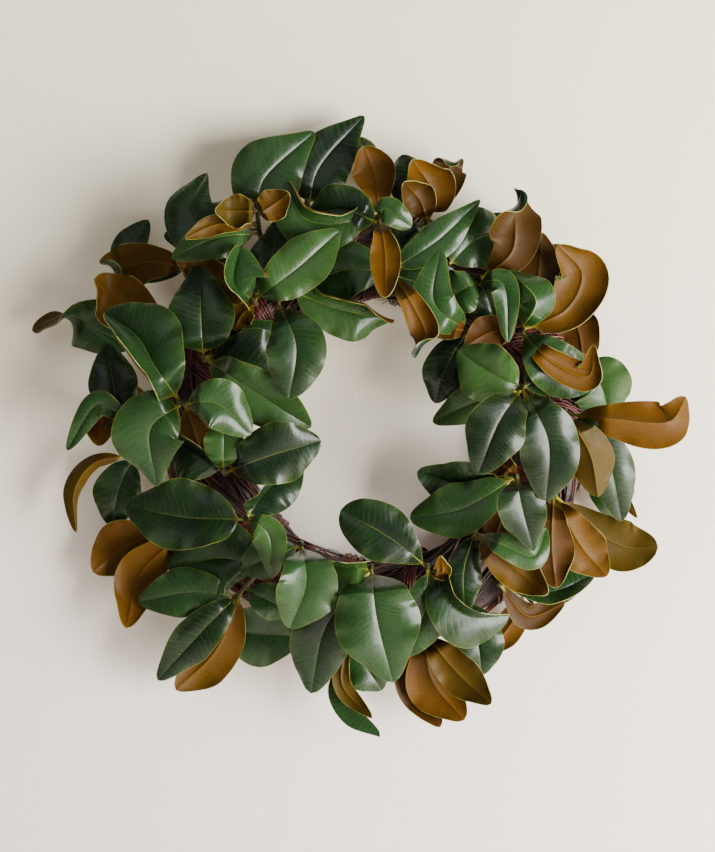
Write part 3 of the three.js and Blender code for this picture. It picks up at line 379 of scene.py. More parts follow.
  ["sprig_bottom_right_back", [[128, -138, 18], [152, -166, 22]], [
    [1, "open", 36, -12, [0, 0], [152, -160, 182, -156, 210, -134]],
    [1.2, "under", 30, -12, [180, 180], [150, -168, 136, -194, 108, -226]],
  ]],
  ["sprig_bottom_left_low", [[-58, -178, 18], [-66, -206, 37]], [
    [4, "tilt_right", 56, -8, [0, 0], [-68, -206, -112, -204, -157, -200]],
  ]],
]


def smooth(start, end, v):
    t = np.clip((v - start) / (end - start), 0, 1)
    return t * t * (3 - 2 * t)


def unit(v):
    return v / np.maximum(np.linalg.norm(v, axis=-1, keepdims=True), 1e-12)


def between(points, t):
    """A point on the straight runs between evenly timed points."""
    spans = len(points) - 1
    i = min(spans - 1, int(t * spans))
    return [v + (t * spans - i) * (w - v) for v, w in zip(points[i], points[i + 1])]


def along(points, t):
    """Points on the smooth curve through evenly timed points."""
    points = np.asarray(points, float)
    spans = len(points) - 1
    i = np.minimum(spans - 1, (t * spans).astype(int))
    f = (t * spans - i)[..., None]
    padded = np.vstack([2 * points[0] - points[1], points, 2 * points[-1] - points[-2]])
    a, b, c, d = (padded[i + k] for k in range(4))
    return b + 0.5 * f * (c - a + f * (2 * a - 5 * b + 4 * c - d + f * (3 * (b - c) + d - a)))


def place(seen):
    """From places seen on the wall (x, z, depth in front of it) to metres in the part's frame."""
    x, z, depth = np.moveaxis(np.asarray(seen, float), -1, 0)
    shrink = 1 - depth / VIEW_DISTANCE
    real = [SIGHT_X + (x - SIGHT_X) * shrink, -depth, SIGHT_Z + (z - SIGHT_Z) * shrink - HANG_HEIGHT]
    return np.stack(real, -1) * MM


def half_width(leaf, t):
    blade = np.clip((t - PETIOLE_END) / (1 - PETIOLE_END), 0, 1)
    outline = np.sin(np.pi * blade ** leaf["form"]["widest"])
    least = PETIOLE_HALF_WIDTH + (TIP_HALF_WIDTH - PETIOLE_HALF_WIDTH) * t
    drawn = 1 - leaf["form"]["drawn_in"] * smooth(TIP_FROM, 1, t)
    return np.maximum(least, leaf["half"] * np.maximum(0, outline) ** FULLNESS * drawn)


def rib(leaf, t):
    """The rib's places (x, z, depth)."""
    x, z = np.moveaxis(along(leaf["path"], t), -1, 0)
    form = leaf["form"]
    depth = leaf["root_depth"] + leaf["lean"] * t + form["arch"] * 4 * t * (1 - t)
    depth = depth + form["hook"] * smooth(HOOK_FROM, 1, t) ** 2 + leaf["lift"] * smooth(0, FULL_LIFT, t)
    return np.stack([x, z, depth], -1)


def turn_frames(leaf):
    """Directions of the rib and of the blade's right side, from root to tip.
    They face the viewer at the leaf's middle and turn no more than they must from there."""
    x, z, depth = rib(leaf, np.linspace(0, 1, FRAME_STEPS + 1)).T
    run = np.stack([x, -depth, z], -1)
    ahead = unit(np.diff(run[[0, *range(FRAME_STEPS + 1), FRAME_STEPS]], axis=0))
    ahead = unit(ahead[:-1] + ahead[1:])
    right = np.zeros_like(ahead)
    middle = FRAME_STEPS // 2
    right[middle] = unit(np.cross(ahead[middle], (0, -1, 0)))
    for steps, back in ((range(middle + 1, FRAME_STEPS + 1), -1), (range(middle - 1, -1, -1), 1)):
        for i in steps:
            right[i] = unit(right[i + back] - ahead[i] * (right[i + back] @ ahead[i]))
    leaf["frames"] = (ahead, right)


def blade_points(leaf, t, s, half=None, relief=0):
    """Places of the blade: s runs from -1 at the left edge to 1 at the right edge."""
    half = half_width(leaf, t) if half is None else half
    form = leaf["form"]
    ahead, right = leaf["frames"]
    i = np.minimum(FRAME_STEPS - 1, (t * FRAME_STEPS).astype(int))
    f = (t * FRAME_STEPS - i)[..., None]
    direction = unit(ahead[i] * (1 - f) + ahead[i + 1] * f)
    flat_right = right[i] * (1 - f) + right[i + 1] * f
    flat_right = unit(flat_right - direction * (flat_right * direction).sum(-1, keepdims=True))
    flat_up = np.cross(flat_right, direction)
    roll = np.radians(np.interp(t, np.linspace(0, 1, len(leaf["roll"])), leaf["roll"]))[..., None]
    right = flat_right * np.cos(roll) + flat_up * np.sin(roll)
    up = flat_up * np.cos(roll) - flat_right * np.sin(roll)
    fold, curl, phase = (np.where(s < 0, *pair) for pair in (form["fold"], form["curl"], leaf["phase"]))
    reach = np.abs(s)
    opened = smooth(*BLADE_OPENS, t)
    out = np.zeros_like(s)
    rise = np.zeros_like(s)
    for k in range(SLICES):
        angle = np.radians((fold + curl * reach * (k + 0.5) / SLICES) * opened)
        out += np.cos(angle) * reach * half / SLICES
        rise += np.sin(angle) * reach * half / SLICES
    rise += form["wave"] * half * s * s * opened * np.sin(2 * np.pi * (WAVES * t + phase))
    rise += relief
    x, z, depth = np.moveaxis(rib(leaf, t), -1, 0)
    p = np.stack([x, -depth, z], -1) + right * (np.sign(s) * out)[..., None] + up * rise[..., None]
    return np.stack([p[..., 0], p[..., 2], -p[..., 1]], -1)


def ring_front(x, z):
    """Depth of the ring's front at a place seen on the wall."""
    off = (np.hypot(x, z) - RING_RADIUS) / RING_HALF_WIDTH
    front = RING_MIDDLE_DEPTH + RING_HALF_DEPTH * np.sqrt(np.maximum(0, 1 - off * off))
    return np.where(np.abs(off) < 1, front, 0)


def root_on_stem(stem, start, taken):
    """The place on a stem nearest to where a leaf should start, kept clear of the roots that are there."""
    places = [between(stem, i / ROOT_SAMPLES) for i in range(ROOT_SAMPLES + 1)]
    outside = [p[2] > ring_front(p[0], p[1]) + ROOT_ABOVE_RING for p in places]
    away = [math.dist(p[:2], start) for p in places]
    nearest = min(a for a, free in zip(away, outside) if free)
    i = max(k for k, a in enumerate(away) if outside[k] and a <= nearest + ROOT_SLACK)
    while i > 0 and outside[i - 1] and any(math.dist(places[i], q) < ROOT_STEP for q in taken):
        i -= 1
    taken.append(places[i])
    return places[i]


def draws(seed):
    """Seeded numbers between 0 and 1, the same as in the part's source."""
    while True:
        seed = (seed * 16807) % 2147483647
        yield seed / 2147483647


def read_sprigs(rows, draw):
    """The table as sprigs with their leaves."""
    sprigs = []
    for index, (name, stem, leaf_rows) in enumerate(rows):
        leaves, taken = [], []
        for layer, form, width, lean, rolls, flat in leaf_rows:
            path = [flat[i : i + 2] for i in range(0, len(flat), 2)]
            root = root_on_stem(stem, path[0], taken)
            path[0] = root[:2]
            shape = FORMS[form]
            spread = sum(math.cos(math.radians(f + c / 2)) for f, c in zip(shape["fold"], shape["curl"]))
            leaves.append({
                "layer": layer, "form": shape, "half": ROOMY * width / spread, "lean": lean,
                "roll": rolls, "path": path, "root_depth": root[2], "lift": 0,
                "phase": (next(draw), next(draw)), "sprig": index,
            })
            turn_frames(leaves[-1])
        sprigs.append({"name": name, "stem": stem, "leaves": leaves, "index": index})
    return sprigs


def settle(sprigs):
    """Lifts every leaf, from the back layers forwards, until it clears what lies behind it."""
    size = 2 * GRID_HALF
    heights = np.zeros((len(sprigs), size, size), np.float32)
    own = np.zeros_like(heights)

    def cell_of(x, z):
        cells = (np.floor(v / CELL).astype(int) + GRID_HALF for v in (x, z))
        return tuple(np.clip(c, 1, size - 2) for c in cells)

    def mark(grid, x, z, depth):
        i, j = cell_of(x, z)
        for a in (-1, 0, 1):
            for b in (-1, 0, 1):
                np.maximum.at(grid, (i + a, j + b), depth.astype(np.float32))

    for sprig in sprigs:
        run = np.array([between(sprig["stem"], k / STEM_SAMPLES) for k in range(STEM_SAMPLES + 1)])
        above = np.full(len(run), float(STEM_RADIUS))
        above[-1] = STEM_BUD
        mark(heights[sprig["index"]], run[:, 0], run[:, 1], run[:, 2] + above)
    t, s = np.meshgrid(
        np.linspace(0, 1, SAMPLES_ALONG + 1), np.linspace(-1, 1, SAMPLES_ACROSS + 1), indexing="ij")
    t, s = t.ravel(), s.ravel()
    beyond = t > OWN_STEM_ZONE
    every_leaf = [leaf for sprig in sprigs for leaf in sprig["leaves"]]
    for leaf in sorted(every_leaf, key=lambda leaf: leaf["layer"]):
        x, z, depth = blade_points(leaf, t, s).T
        i, j = cell_of(x, z)
        others = np.delete(heights, leaf["sprig"], axis=0)[:, i, j].max(0)
        behind = np.maximum(np.maximum(WALL_GAP, ring_front(x, z)), others)
        behind = np.where(beyond, np.maximum(behind, own[leaf["sprig"], i, j]), behind)
        need = (behind + LEAF_GAP - depth) / np.maximum(smooth(0, FULL_LIFT, t), 1e-9)
        leaf["lift"] = max(0, need[t > LIFT_FROM].max())
        turn_frames(leaf)
        x, z, depth = blade_points(leaf, t, s).T
        mark(heights[leaf["sprig"]], x, z, depth)
        mark(own[leaf["sprig"]], x[beyond], z[beyond], depth[beyond])


sprigs = read_sprigs(SPRIGS, draws(LEAF_SEED))
settle(sprigs)


# Modelling

rng = np.random.default_rng(DETAIL_SEED)


def alone(piece):
    """Only this object is selected and active."""
    bpy.ops.object.select_all(action="DESELECT")
    piece.select_set(True)
    bpy.context.view_layer.objects.active = piece
    return piece


def apply_modifiers(piece):
    alone(piece)
    for modifier in list(piece.modifiers):
        bpy.ops.object.modifier_apply(modifier=modifier.name)
    return piece


def join(pieces, name):
    """One piece out of several, with its place in its mesh."""
    alone(pieces[0])
    for piece in pieces:
        piece.select_set(True)
    bpy.ops.object.join()
    pieces[0].name = name
    pieces[0].data.name = name
    return pieces[0]


def coordinates(mesh):
    flat = np.empty(len(mesh.vertices) * 3)
    mesh.vertices.foreach_get("co", flat)
    return flat.reshape(-1, 3)


def copy_of(template, name, points):
    """A copy with its own mesh, its vertices moved to the points given in metres."""
    piece = template.copy()
    piece.data = template.data.copy()
    piece.name = name
    bpy.context.scene.collection.objects.link(piece)
    piece.data.vertices.foreach_set("co", np.ascontiguousarray(points).ravel())
    piece.data.update()
    return piece


def note(piece, name, values):
    """Keeps three numbers for each vertex, for the materials to read."""
    layer = piece.data.attributes.new(name, "FLOAT_VECTOR", "POINT")
    layer.data.foreach_set("vector", np.ascontiguousarray(values, dtype=np.float32).ravel())


def flat_leaf():
    """The flat leaf that every leaf is bent from: columns crowd at the rib, rows at both ends."""
    bpy.ops.mesh.primitive_grid_add(x_subdivisions=LEAF_COLUMNS, y_subdivisions=LEAF_ROWS, size=2)
    leaf = alone(bpy.context.object)
    leaf.name = "flat_leaf"
    flat = coordinates(leaf.data)
    share = (flat[:, 1] + 1) / 2
    t = share - ROW_CROWD * np.sin(2 * np.pi * share)
    s = np.sign(flat[:, 0]) * np.abs(flat[:, 0]) ** RIB_CROWD
    stalk = 1 - smooth(*STALK_ENDS, t)
    round_stalk = PETIOLE_THICK * np.sqrt(np.maximum(STALK_FLATTEST, 1 - s * s))
    blade = BLADE * (1 - EDGE_THINNER * s * s) + RIB_THICK * (1 - t) * np.exp(-((s / RIB_SHARE) ** 2))
    thick = stalk * round_stalk + (1 - stalk) * blade
    group = leaf.vertex_groups.new(name="thickness")
    for i, share_of_most in enumerate(thick / THICKEST):
        group.add([i], float(share_of_most), "REPLACE")
    for finish in LEAF_FINISHES:
        leaf.data.materials.append(finish)
    return leaf, t, s


def bent_leaf(leaf, name, template, t, s, tone):
    """A leaf of the wreath: the flat leaf bent to its place, given its thickness and its notes."""
    wave = rng.uniform(0, 1, 4)
    half = half_width(leaf, t)
    opened = smooth(*UNEVEN_FROM, t)
    sway = UNEVEN_SWAY * np.sin(2 * np.pi * (2.1 * t + wave[0]))
    half = half * (1 + opened * (sway + UNEVEN_SIDES * np.sign(s) * (wave[1] - 0.5)))
    across = s * half
    sunk = -RIB_SINK * np.exp(-((across / RIB_REACH) ** 2)) * smooth(1, 0.7, t) * smooth(0.05, 0.15, t)
    ripple = np.sin(2 * np.pi * (4.6 * t + wave[2])) + 0.6 * np.sin(2 * np.pi * (7.7 * t + wave[3] + 0.3 * s))
    relief = sunk + RIPPLE * half * np.abs(s) ** 3 * ripple * opened
    piece = copy_of(template, name, place(blade_points(leaf, t, s, half, relief)))
    middle_line = rib(leaf, np.linspace(0, 1, FRAME_STEPS + 1))
    length = np.linalg.norm(np.diff(middle_line, axis=0), axis=1).sum()
    note(piece, "leaf_place", np.stack([across, t * length, half - np.abs(across)], -1))
    note(piece, "leaf_share", np.stack([t, np.abs(s), np.full_like(t, tone)], -1))
    walls = piece.modifiers.new("thickness", "SOLIDIFY")
    walls.thickness = THICKEST * MM
    walls.offset = 0
    walls.vertex_group = "thickness"
    walls.material_offset = 1
    walls.material_offset_rim = 2
    apply_modifiers(piece)
    piece.vertex_groups.clear()
    bpy.ops.object.shade_smooth_by_angle(angle=CREASE_ANGLE)
    return piece


def tubes(name, runs, finish, sides=1):
    """Round stems or twigs: each run is a list of points in metres with a radius for each."""
    curve = bpy.data.curves.new(name, "CURVE")
    curve.dimensions = "3D"
    curve.bevel_depth = MM
    curve.bevel_resolution = sides
    curve.use_fill_caps = True
    for points, radii in runs:
        spline = curve.splines.new("POLY")
        spline.points.add(len(points) - 1)
        spline.points.foreach_set("co", np.c_[points, np.ones(len(points))].ravel())
        spline.points.foreach_set("radius", np.asarray(radii, float))
        spline.use_smooth = True
    curve.materials.append(finish)
    piece = bpy.data.objects.new(name, curve)
    bpy.context.scene.collection.objects.link(piece)
    alone(piece)
    bpy.ops.object.convert(target="MESH")
    return bpy.context.object


def stem_piece(sprig):
    """The woody stem, with the low rings where older leaves have dropped."""
    run = np.array([between(sprig["stem"], k / STEM_STATIONS) for k in range(STEM_STATIONS + 1)])
    run[1:-1] = (run[:-2] + 2 * run[1:-1] + run[2:]) / 4
    gone = np.r_[0, np.cumsum(np.linalg.norm(np.diff(run, axis=0), axis=1))]
    radii = STEM_RADIUS + (STEM_TIP_RADIUS - STEM_RADIUS) * gone / gone[-1]
    radii *= 1 + SCAR_RISE * np.maximum(0, np.cos(2 * np.pi * gone / SCAR_SPACING)) ** 6
    return tubes(sprig["name"] + "_stem", [(place(run), radii)], STEM_BARK, sides=3)


def flat_bud():
    """A pointed bud with its scales lapped round it, standing on the origin."""
    bpy.ops.mesh.primitive_uv_sphere_add(segments=18, ring_count=18, radius=1)
    bud = alone(bpy.context.object)
    bud.name = "plain_bud"
    co = coordinates(bud.data)
    share = (co[:, 2] + 1) / 2
    turn = np.arctan2(co[:, 1], co[:, 0])
    girth = np.sin(np.pi * np.clip(share, 0, 1) ** 0.62) ** 0.8
    girth *= 1 + SCALE_STEP * np.sign(np.sin(turn + 3 * share))
    flat = np.stack([girth * np.cos(turn), girth * np.sin(turn), share], -1)
    bud.data.materials.append(BUD_FELT)
    bpy.ops.object.shade_smooth()
    return bud, flat


def bud_piece(sprig, template, flat):
    """The bud that closes a sprig."""
    end, before = (place(np.array([p]))[0] for p in (sprig["stem"][-1], sprig["stem"][-2]))
    ahead = unit(end - before)
    side = unit(np.cross(ahead, (0.3, 0.2, 1)))
    up = np.cross(side, ahead)
    girth = BUD_RADIUS * MM
    reach = ahead * BUD_LENGTH * MM
    wide, deep, far = (flat[:, k : k + 1] for k in range(3))
    points = end - BUD_SUNK * reach + wide * side * girth + deep * up * girth + far * reach
    return copy_of(template, sprig["name"] + "_bud", points)


# Finishes

def linear(red, green, blue):
    """A colour as seen, 0 to 255, as the shader's own number."""
    seen = [c / 255 for c in (red, green, blue)]
    return tuple(c / 12.92 if c < 0.04 else ((c + 0.055) / 1.055) ** 2.4 for c in seen) + (1,)


def add(tree, kind, inputs=None, **settings):
    """A new shader node with its settings, and with its inputs set or linked."""
    made = tree.nodes.new("ShaderNode" + kind)
    for key, value in settings.items():
        setattr(made, key, value)
    for key, value in (inputs or {}).items():
        if isinstance(value, bpy.types.NodeSocket):
            tree.links.new(value, made.inputs[key])
        else:
            made.inputs[key].default_value = value
    return made


def calc(tree, operation, *values):
    return add(tree, "Math", dict(enumerate(values)), operation=operation).outputs[0]


def times(tree, first, second):
    return calc(tree, "MULTIPLY", first, second)


def plus(tree, first, second):
    return calc(tree, "ADD", first, second)


def fade(tree, value, start, end, low=0, high=1):
    """Low up to start, high from end on, and a soft step between them."""
    inputs = {"Value": value, "From Min": start, "From Max": end, "To Min": low, "To Max": high}
    return add(tree, "MapRange", inputs, interpolation_type="SMOOTHSTEP").outputs["Result"]


def tint(tree, colour, *layers):
    """A colour with others laid over it in turn, each by its own amount."""
    for amount, over in layers:
        colour = add(tree, "Mix", {0: amount, 6: colour, 7: over}, data_type="RGBA").outputs[2]
    return colour


def here(tree):
    """Places on the object itself, in metres."""
    return add(tree, "TexCoord").outputs["Object"]


def noise(tree, scale, detail=3):
    inputs = {"Vector": here(tree), "Scale": scale, "Detail": detail}
    return add(tree, "TexNoise", inputs).outputs["Fac"]


def noted(tree, name):
    """The three numbers kept with each vertex."""
    vector = add(tree, "Attribute", attribute_name=name).outputs["Vector"]
    parts = add(tree, "SeparateXYZ", {0: vector})
    return parts.outputs[0], parts.outputs[1], parts.outputs[2]


def group(name, inputs, outputs):
    """An empty node group with named number inputs and outputs."""
    tree = bpy.data.node_groups.new(name, "ShaderNodeTree")
    for label, value in inputs:
        socket = tree.interface.new_socket(name=label, in_out="INPUT", socket_type="NodeSocketFloat")
        socket.default_value = value
    for label in outputs:
        tree.interface.new_socket(name=label, in_out="OUTPUT", socket_type="NodeSocketFloat")
    return tree, tree.nodes.new("NodeGroupInput"), tree.nodes.new("NodeGroupOutput")


def leaf_veins():
    """Rib, side veins and the fine net between them, from the millimetres noted on a leaf."""
    measures = [("Spacing", 6), ("Width", 0.7), ("Rib width", 1.1)]
    tree, given, out = group("leaf veins", measures, ["Rib", "Side", "Net", "Edge"])
    across, along_leaf, edge = noted(tree, "leaf_place")
    t, share, _ = noted(tree, "leaf_share")
    off = calc(tree, "ABSOLUTE", across)
    drift = times(tree, calc(tree, "SUBTRACT", noise(tree, 45), 0.5), VEIN_DRIFT)
    bend = times(tree, calc(tree, "POWER", off, 2), VEIN_BEND)
    rise = plus(tree, times(tree, off, VEIN_SLANT), bend)
    turn = plus(tree, calc(tree, "SUBTRACT", along_leaf, rise), drift)
    turn = calc(tree, "DIVIDE", turn, given.outputs["Spacing"])
    turn = plus(tree, turn, times(tree, calc(tree, "SIGN", across), VEIN_STAGGER))
    turn = calc(tree, "FRACT", plus(tree, turn, VEIN_TURNS_ADDED))
    apart = calc(tree, "ABSOLUTE", calc(tree, "SUBTRACT", turn, 0.5))
    apart = times(tree, apart, given.outputs["Spacing"])
    side = fade(tree, apart, 0, given.outputs["Width"], 1, 0)
    side = times(tree, side, fade(tree, share, 0.8, 1, 1, 0))
    side = times(tree, side, fade(tree, t, 0.06, 0.2))
    side = times(tree, side, fade(tree, noise(tree, 50), 0.35, 0.65, 0.2, 1))
    narrower = calc(tree, "SUBTRACT", 1, times(tree, t, RIB_NARROWS))
    half_rib = times(tree, given.outputs["Rib width"], narrower)
    rib_mark = fade(tree, calc(tree, "SUBTRACT", off, half_rib), -0.35, 0.25, 1, 0)
    rib_mark = times(tree, rib_mark, fade(tree, t, 0.7, 0.97, 1, 0))
    cells = add(tree, "TexVoronoi", {"Vector": here(tree), "Scale": 420}, feature="DISTANCE_TO_EDGE")
    net = fade(tree, cells.outputs["Distance"], 0, 0.14, 1, 0)
    rim = fade(tree, edge, 0.05, 0.55, 1, 0)
    for label, value in (("Rib", rib_mark), ("Side", side), ("Net", net), ("Edge", rim)):
        tree.links.new(value, out.inputs[label])
    return tree


def vein_marks(tree, spacing, width, rib_width):
    """Rib, side veins, net and edge of a leaf, with measures in millimetres."""
    measures = {"Spacing": spacing, "Width": width, "Rib width": rib_width}
    veins = add(tree, "Group", measures, node_tree=VEINS)
    return [veins.outputs[k] for k in ("Rib", "Side", "Net", "Edge")]


def finish(name):
    """An empty material with its shader."""
    material = bpy.data.materials.new(name)
    material.use_nodes = True
    return material, material.node_tree, material.node_tree.nodes["Principled BSDF"]


def surface(tree, shader, colour, roughness, height, depth=1):
    """Joins the colour, roughness and a height in millimetres to the shader."""
    bump = add(tree, "Bump", {"Height": height, "Distance": MM * depth, "Strength": 1})
    normal = bump.outputs["Normal"]
    for label, value in (("Base Color", colour), ("Roughness", roughness), ("Normal", normal)):
        tree.links.new(value, shader.inputs[label])


def leaf_top():
    """Glossy green, deeper or brighter from leaf to leaf, olive towards the edge. The paler top of the listed
    leaves is partly their own green and partly painted light.
    """
    material, tree, shader = finish("leaf_top_green")
    rib_mark, side, net, edge = vein_marks(tree, 6.4, 1.7, 0.6)
    t, share, tone = noted(tree, "leaf_share")
    cloud = plus(tree, times(tree, noise(tree, 26), 0.6), times(tree, tone, 0.55))
    colour = tint(
        tree, TOP_DEEP,
        (fade(tree, cloud, 0.3, 0.85), TOP_BRIGHT),
        # paler green of the listed leaves: partly their own colour, partly painted light
        (fade(tree, tone, 1.2, 2), TOP_PALE_AND_LIT),
        (times(tree, fade(tree, share, 0.55, 1.05), 0.35), TOP_OLIVE),
        (times(tree, side, 0.07), TOP_VEIN),
        (times(tree, net, 0.04), TOP_VEIN),
        (fade(tree, noise(tree, 340, 2), 0.7, 0.8, 0, 0.2), TOP_SPECK),
        (times(tree, rib_mark, 0.7), RIB_PALE),
        (times(tree, edge, 0.5), RIM_PALE),
        (fade(tree, t, *STALK_SEEN), STALK))
    roughness = fade(tree, noise(tree, 90), 0.35, 0.7, 0.24, 0.36)
    roughness = plus(tree, roughness, times(tree, side, 0.08))
    height = times(tree, side, -0.05)
    height = calc(tree, "SUBTRACT", height, times(tree, net, 0.03))
    height = plus(tree, height, times(tree, noise(tree, 90, 2), 0.3))
    surface(tree, shader, colour, roughness, height)
    shader.inputs["Specular IOR Level"].default_value = 0.22
    shader.inputs["Coat Weight"].default_value = 0.1
    shader.inputs["Coat Roughness"].default_value = 0.12
    return material


def leaf_felt():
    """Felt from olive to orange-brown, red-brown where a leaf's tone is below 0."""
    material, tree, shader = finish("leaf_under_felt")
    rib_mark, side, net, edge = vein_marks(tree, 4.6, 0.7, 0.8)
    t, _, tone = noted(tree, "leaf_share")
    own = times(tree, calc(tree, "FRACT", tone), 0.6)
    cloud = plus(tree, times(tree, noise(tree, 22, 4), 0.75), own)
    colour = tint(
        tree, FELT_OLIVE,
        (fade(tree, cloud, 0.35, 0.95), FELT_ORANGE),
        (fade(tree, tone, 0, -0.02, 0, 0.7), FELT_BROWN),
        (fade(tree, noise(tree, 480, 2), 0.45, 0.7, 0, 0.3), FELT_DARK),
        (times(tree, side, 0.12), FELT_DARK),
        (times(tree, rib_mark, 0.6), FELT_RIB),
        (times(tree, edge, 0.55), RIM_OLIVE),
        (fade(tree, t, *STALK_SEEN), STALK))
    roughness = fade(tree, noise(tree, 150), 0.3, 0.7, 0.42, 0.56)
    height = plus(tree, times(tree, side, 0.08), times(tree, net, 0.03))
    height = plus(tree, height, times(tree, noise(tree, 1400, 2), 0.12))
    surface(tree, shader, colour, roughness, height)
    shader.inputs["Specular IOR Level"].default_value = 0.12
    return material


def leaf_rim():
    """The thin edge between the green top and the felt."""
    material, tree, shader = finish("leaf_rim")
    t, _, _ = noted(tree, "leaf_share")
    olive = fade(tree, noise(tree, 70), 0.35, 0.7)
    colour = tint(tree, RIM_PALE, (olive, RIM_OLIVE), (fade(tree, t, *STALK_SEEN), STALK))
    roughness = fade(tree, noise(tree, 200), 0.3, 0.7, 0.4, 0.55)
    surface(tree, shader, colour, roughness, noise(tree, 900), 0.1)
    return material


def bark(name, dark, light, fleck, gloss, scale):
    """Bark with fine grain, darker clouds and small pale flecks."""
    material, tree, shader = finish(name)
    clouds = fade(tree, noise(tree, scale), 0.32, 0.7)
    flecks = fade(tree, noise(tree, scale * 7, 2), 0.64, 0.72, 0, 0.6)
    colour = tint(tree, dark, (clouds, light), (flecks, fleck))
    height = plus(tree, noise(tree, scale * 12, 2), times(tree, noise(tree, scale * 3), 2))
    roughness = fade(tree, noise(tree, scale * 2), 0.3, 0.7, gloss, gloss + 0.16)
    surface(tree, shader, colour, roughness, height, 0.18)
    return material


def bud_felt():
    """Dull olive down over a bud."""
    material, tree, shader = finish("bud_felt")
    colour = tint(tree, BUD_DARK, (fade(tree, noise(tree, 160), 0.35, 0.7), BUD_OLIVE))
    roughness = fade(tree, noise(tree, 300), 0.3, 0.7, 0.6, 0.75)
    surface(tree, shader, colour, roughness, noise(tree, 1800, 2), 0.25)
    shader.inputs["Specular IOR Level"].default_value = 0.2
    return material


# Leaf colours, as seen, and the course of the side veins
VEIN_SLANT = 0.32
VEIN_BEND = 0.007
VEIN_DRIFT = 5  # millimetres
VEIN_STAGGER = 0.21  # the veins of the two halves don't meet at the rib
VEIN_TURNS_ADDED = 40  # keeps the count of veins above 0
RIB_NARROWS = 0.8
TOP_DEEP = linear(7, 23, 11)
TOP_BRIGHT = linear(26, 53, 22)
# paler green of the listed leaves: partly their own colour, partly painted light
TOP_PALE_AND_LIT = linear(42, 70, 28)
TOP_OLIVE = linear(42, 63, 15)
TOP_VEIN = linear(80, 110, 44)
TOP_SPECK = linear(60, 72, 24)
RIB_PALE = linear(136, 150, 56)
RIM_PALE = linear(138, 146, 66)
RIM_OLIVE = linear(118, 108, 40)
STALK = linear(120, 116, 36)
FELT_ORANGE = linear(82, 53, 4)
FELT_OLIVE = linear(60, 48, 4)
FELT_DARK = linear(36, 23, 5)
FELT_BROWN = linear(54, 30, 5)
FELT_RIB = linear(96, 68, 10)
BUD_DARK = linear(34, 42, 14)
BUD_OLIVE = linear(64, 66, 26)
STALK_SEEN = (0.13, 0.05)  # shares of a leaf between which its stalk's colour comes in

VEINS = leaf_veins()
LEAF_FINISHES = [leaf_top(), leaf_felt(), leaf_rim()]
STEM_BARK = bark("stem_bark", linear(52, 42, 24), linear(84, 76, 40), linear(120, 106, 72), 0.5, 90)
BUD_FELT = bud_felt()
TWIG_BARKS = [
    bark("twig_bark_red", linear(56, 20, 16), linear(104, 42, 34), linear(150, 104, 88), 0.34, 120),
    bark("twig_bark_brown", linear(46, 24, 16), linear(90, 50, 34), linear(140, 104, 80), 0.38, 120),
    bark("twig_bark_dark", linear(30, 18, 16), linear(58, 34, 30), linear(112, 84, 72), 0.36, 120),
]


# Leafy sprigs

# Leaves with a lighter green top, by their place in the table: partly a paler green of their own, partly
# painted light on leaves that stand in the light
PALE_AND_LIT_LEAVES = {
    "sprig_left_front": [2], "sprig_left_upper": [1], "sprig_left_low": [1], "sprig_left_middle": [1],
    "sprig_bottom_front": [1], "sprig_bottom_left": [4], "sprig_right_low_front": [2],
    "sprig_right_front": [0, 3], "sprig_right_inner": [1], "sprig_right_boats": [1],
    "sprig_top_front": [0], "sprig_top_outer": [0, 3, 4], "sprig_top_right": [0], "sprig_right_upper": [2],
    "sprig_upper_right": [2], "sprig_right_side": [1], "sprig_top_left_out": [4],
    "sprig_upper_left_front": [0, 1], "sprig_upper_left_inner": [0], "sprig_left_out": [1],
    "sprig_left_side": [2], "sprig_bottom_left_inner": [0],
}

# Leaves that are red-brown underneath and dark on top
DARK_LEAVES = {
    "sprig_upper_right": [0], "sprig_right_upper": [1, 5], "sprig_right_corner": [1],
    "sprig_top_right_back": [0], "sprig_top_cups": [1, 2], "sprig_right_long": [1], "sprig_right_side": [0],
    "sprig_right_boats": [3, 4], "sprig_right_inner": [2], "sprig_top_front": [1],
    "sprig_bottom_right_low": [2],
}

template, LEAF_T, LEAF_S = flat_leaf()
bud_template, BUD_FLAT = flat_bud()
for sprig in sprigs:
    made = [stem_piece(sprig), bud_piece(sprig, bud_template, BUD_FLAT)]
    for k, leaf in enumerate(sprig["leaves"]):
        light, dark = (k in leaves.get(sprig["name"], ()) for leaves in (PALE_AND_LIT_LEAVES, DARK_LEAVES))
        tone = rng.uniform(0, 1) + light - dark
        made.append(bent_leaf(leaf, f"{sprig['name']}_leaf_{k}", template, LEAF_T, LEAF_S, tone))
    piece = join(made, sprig["name"].replace("sprig", "leafy"))
    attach(piece, "root")
    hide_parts(sprig["name"])
bpy.data.objects.remove(template)
bpy.data.objects.remove(bud_template)


# Ring of wound twigs

def on_bundle(turn, angle, out):
    """Places on the bundle: turn round the ring and angle round its section, in turns, out in millimetres."""
    lobe = np.cos(2 * np.pi * (RING_STRANDS * angle - RING_TURNS * turn))
    swell = 1 - (1 - RING_GROOVE) * (0.5 - 0.5 * lobe)
    radius = RING_RADIUS + (RING_HALF_WIDTH * swell + out) * np.cos(2 * np.pi * angle)
    depth = RING_MIDDLE_DEPTH + (RING_HALF_DEPTH * swell + out) * np.sin(2 * np.pi * angle)
    depth = np.maximum(depth, TWIG_BACK + 0.5 * np.abs(out))
    x = radius * np.cos(2 * np.pi * turn)
    z = radius * np.sin(2 * np.pi * turn) - HANG_HEIGHT
    return np.stack([x, -depth, z], -1) * MM


def twig_radii(thick, share, knots):
    """A twig's radius along it: it tapers, and swells a little at its knots."""
    bumps = sum(np.exp(-(((share - k) / 0.008) ** 2)) for k in knots)
    return thick * (1 - 0.45 * share) * (1 + 0.18 * bumps)


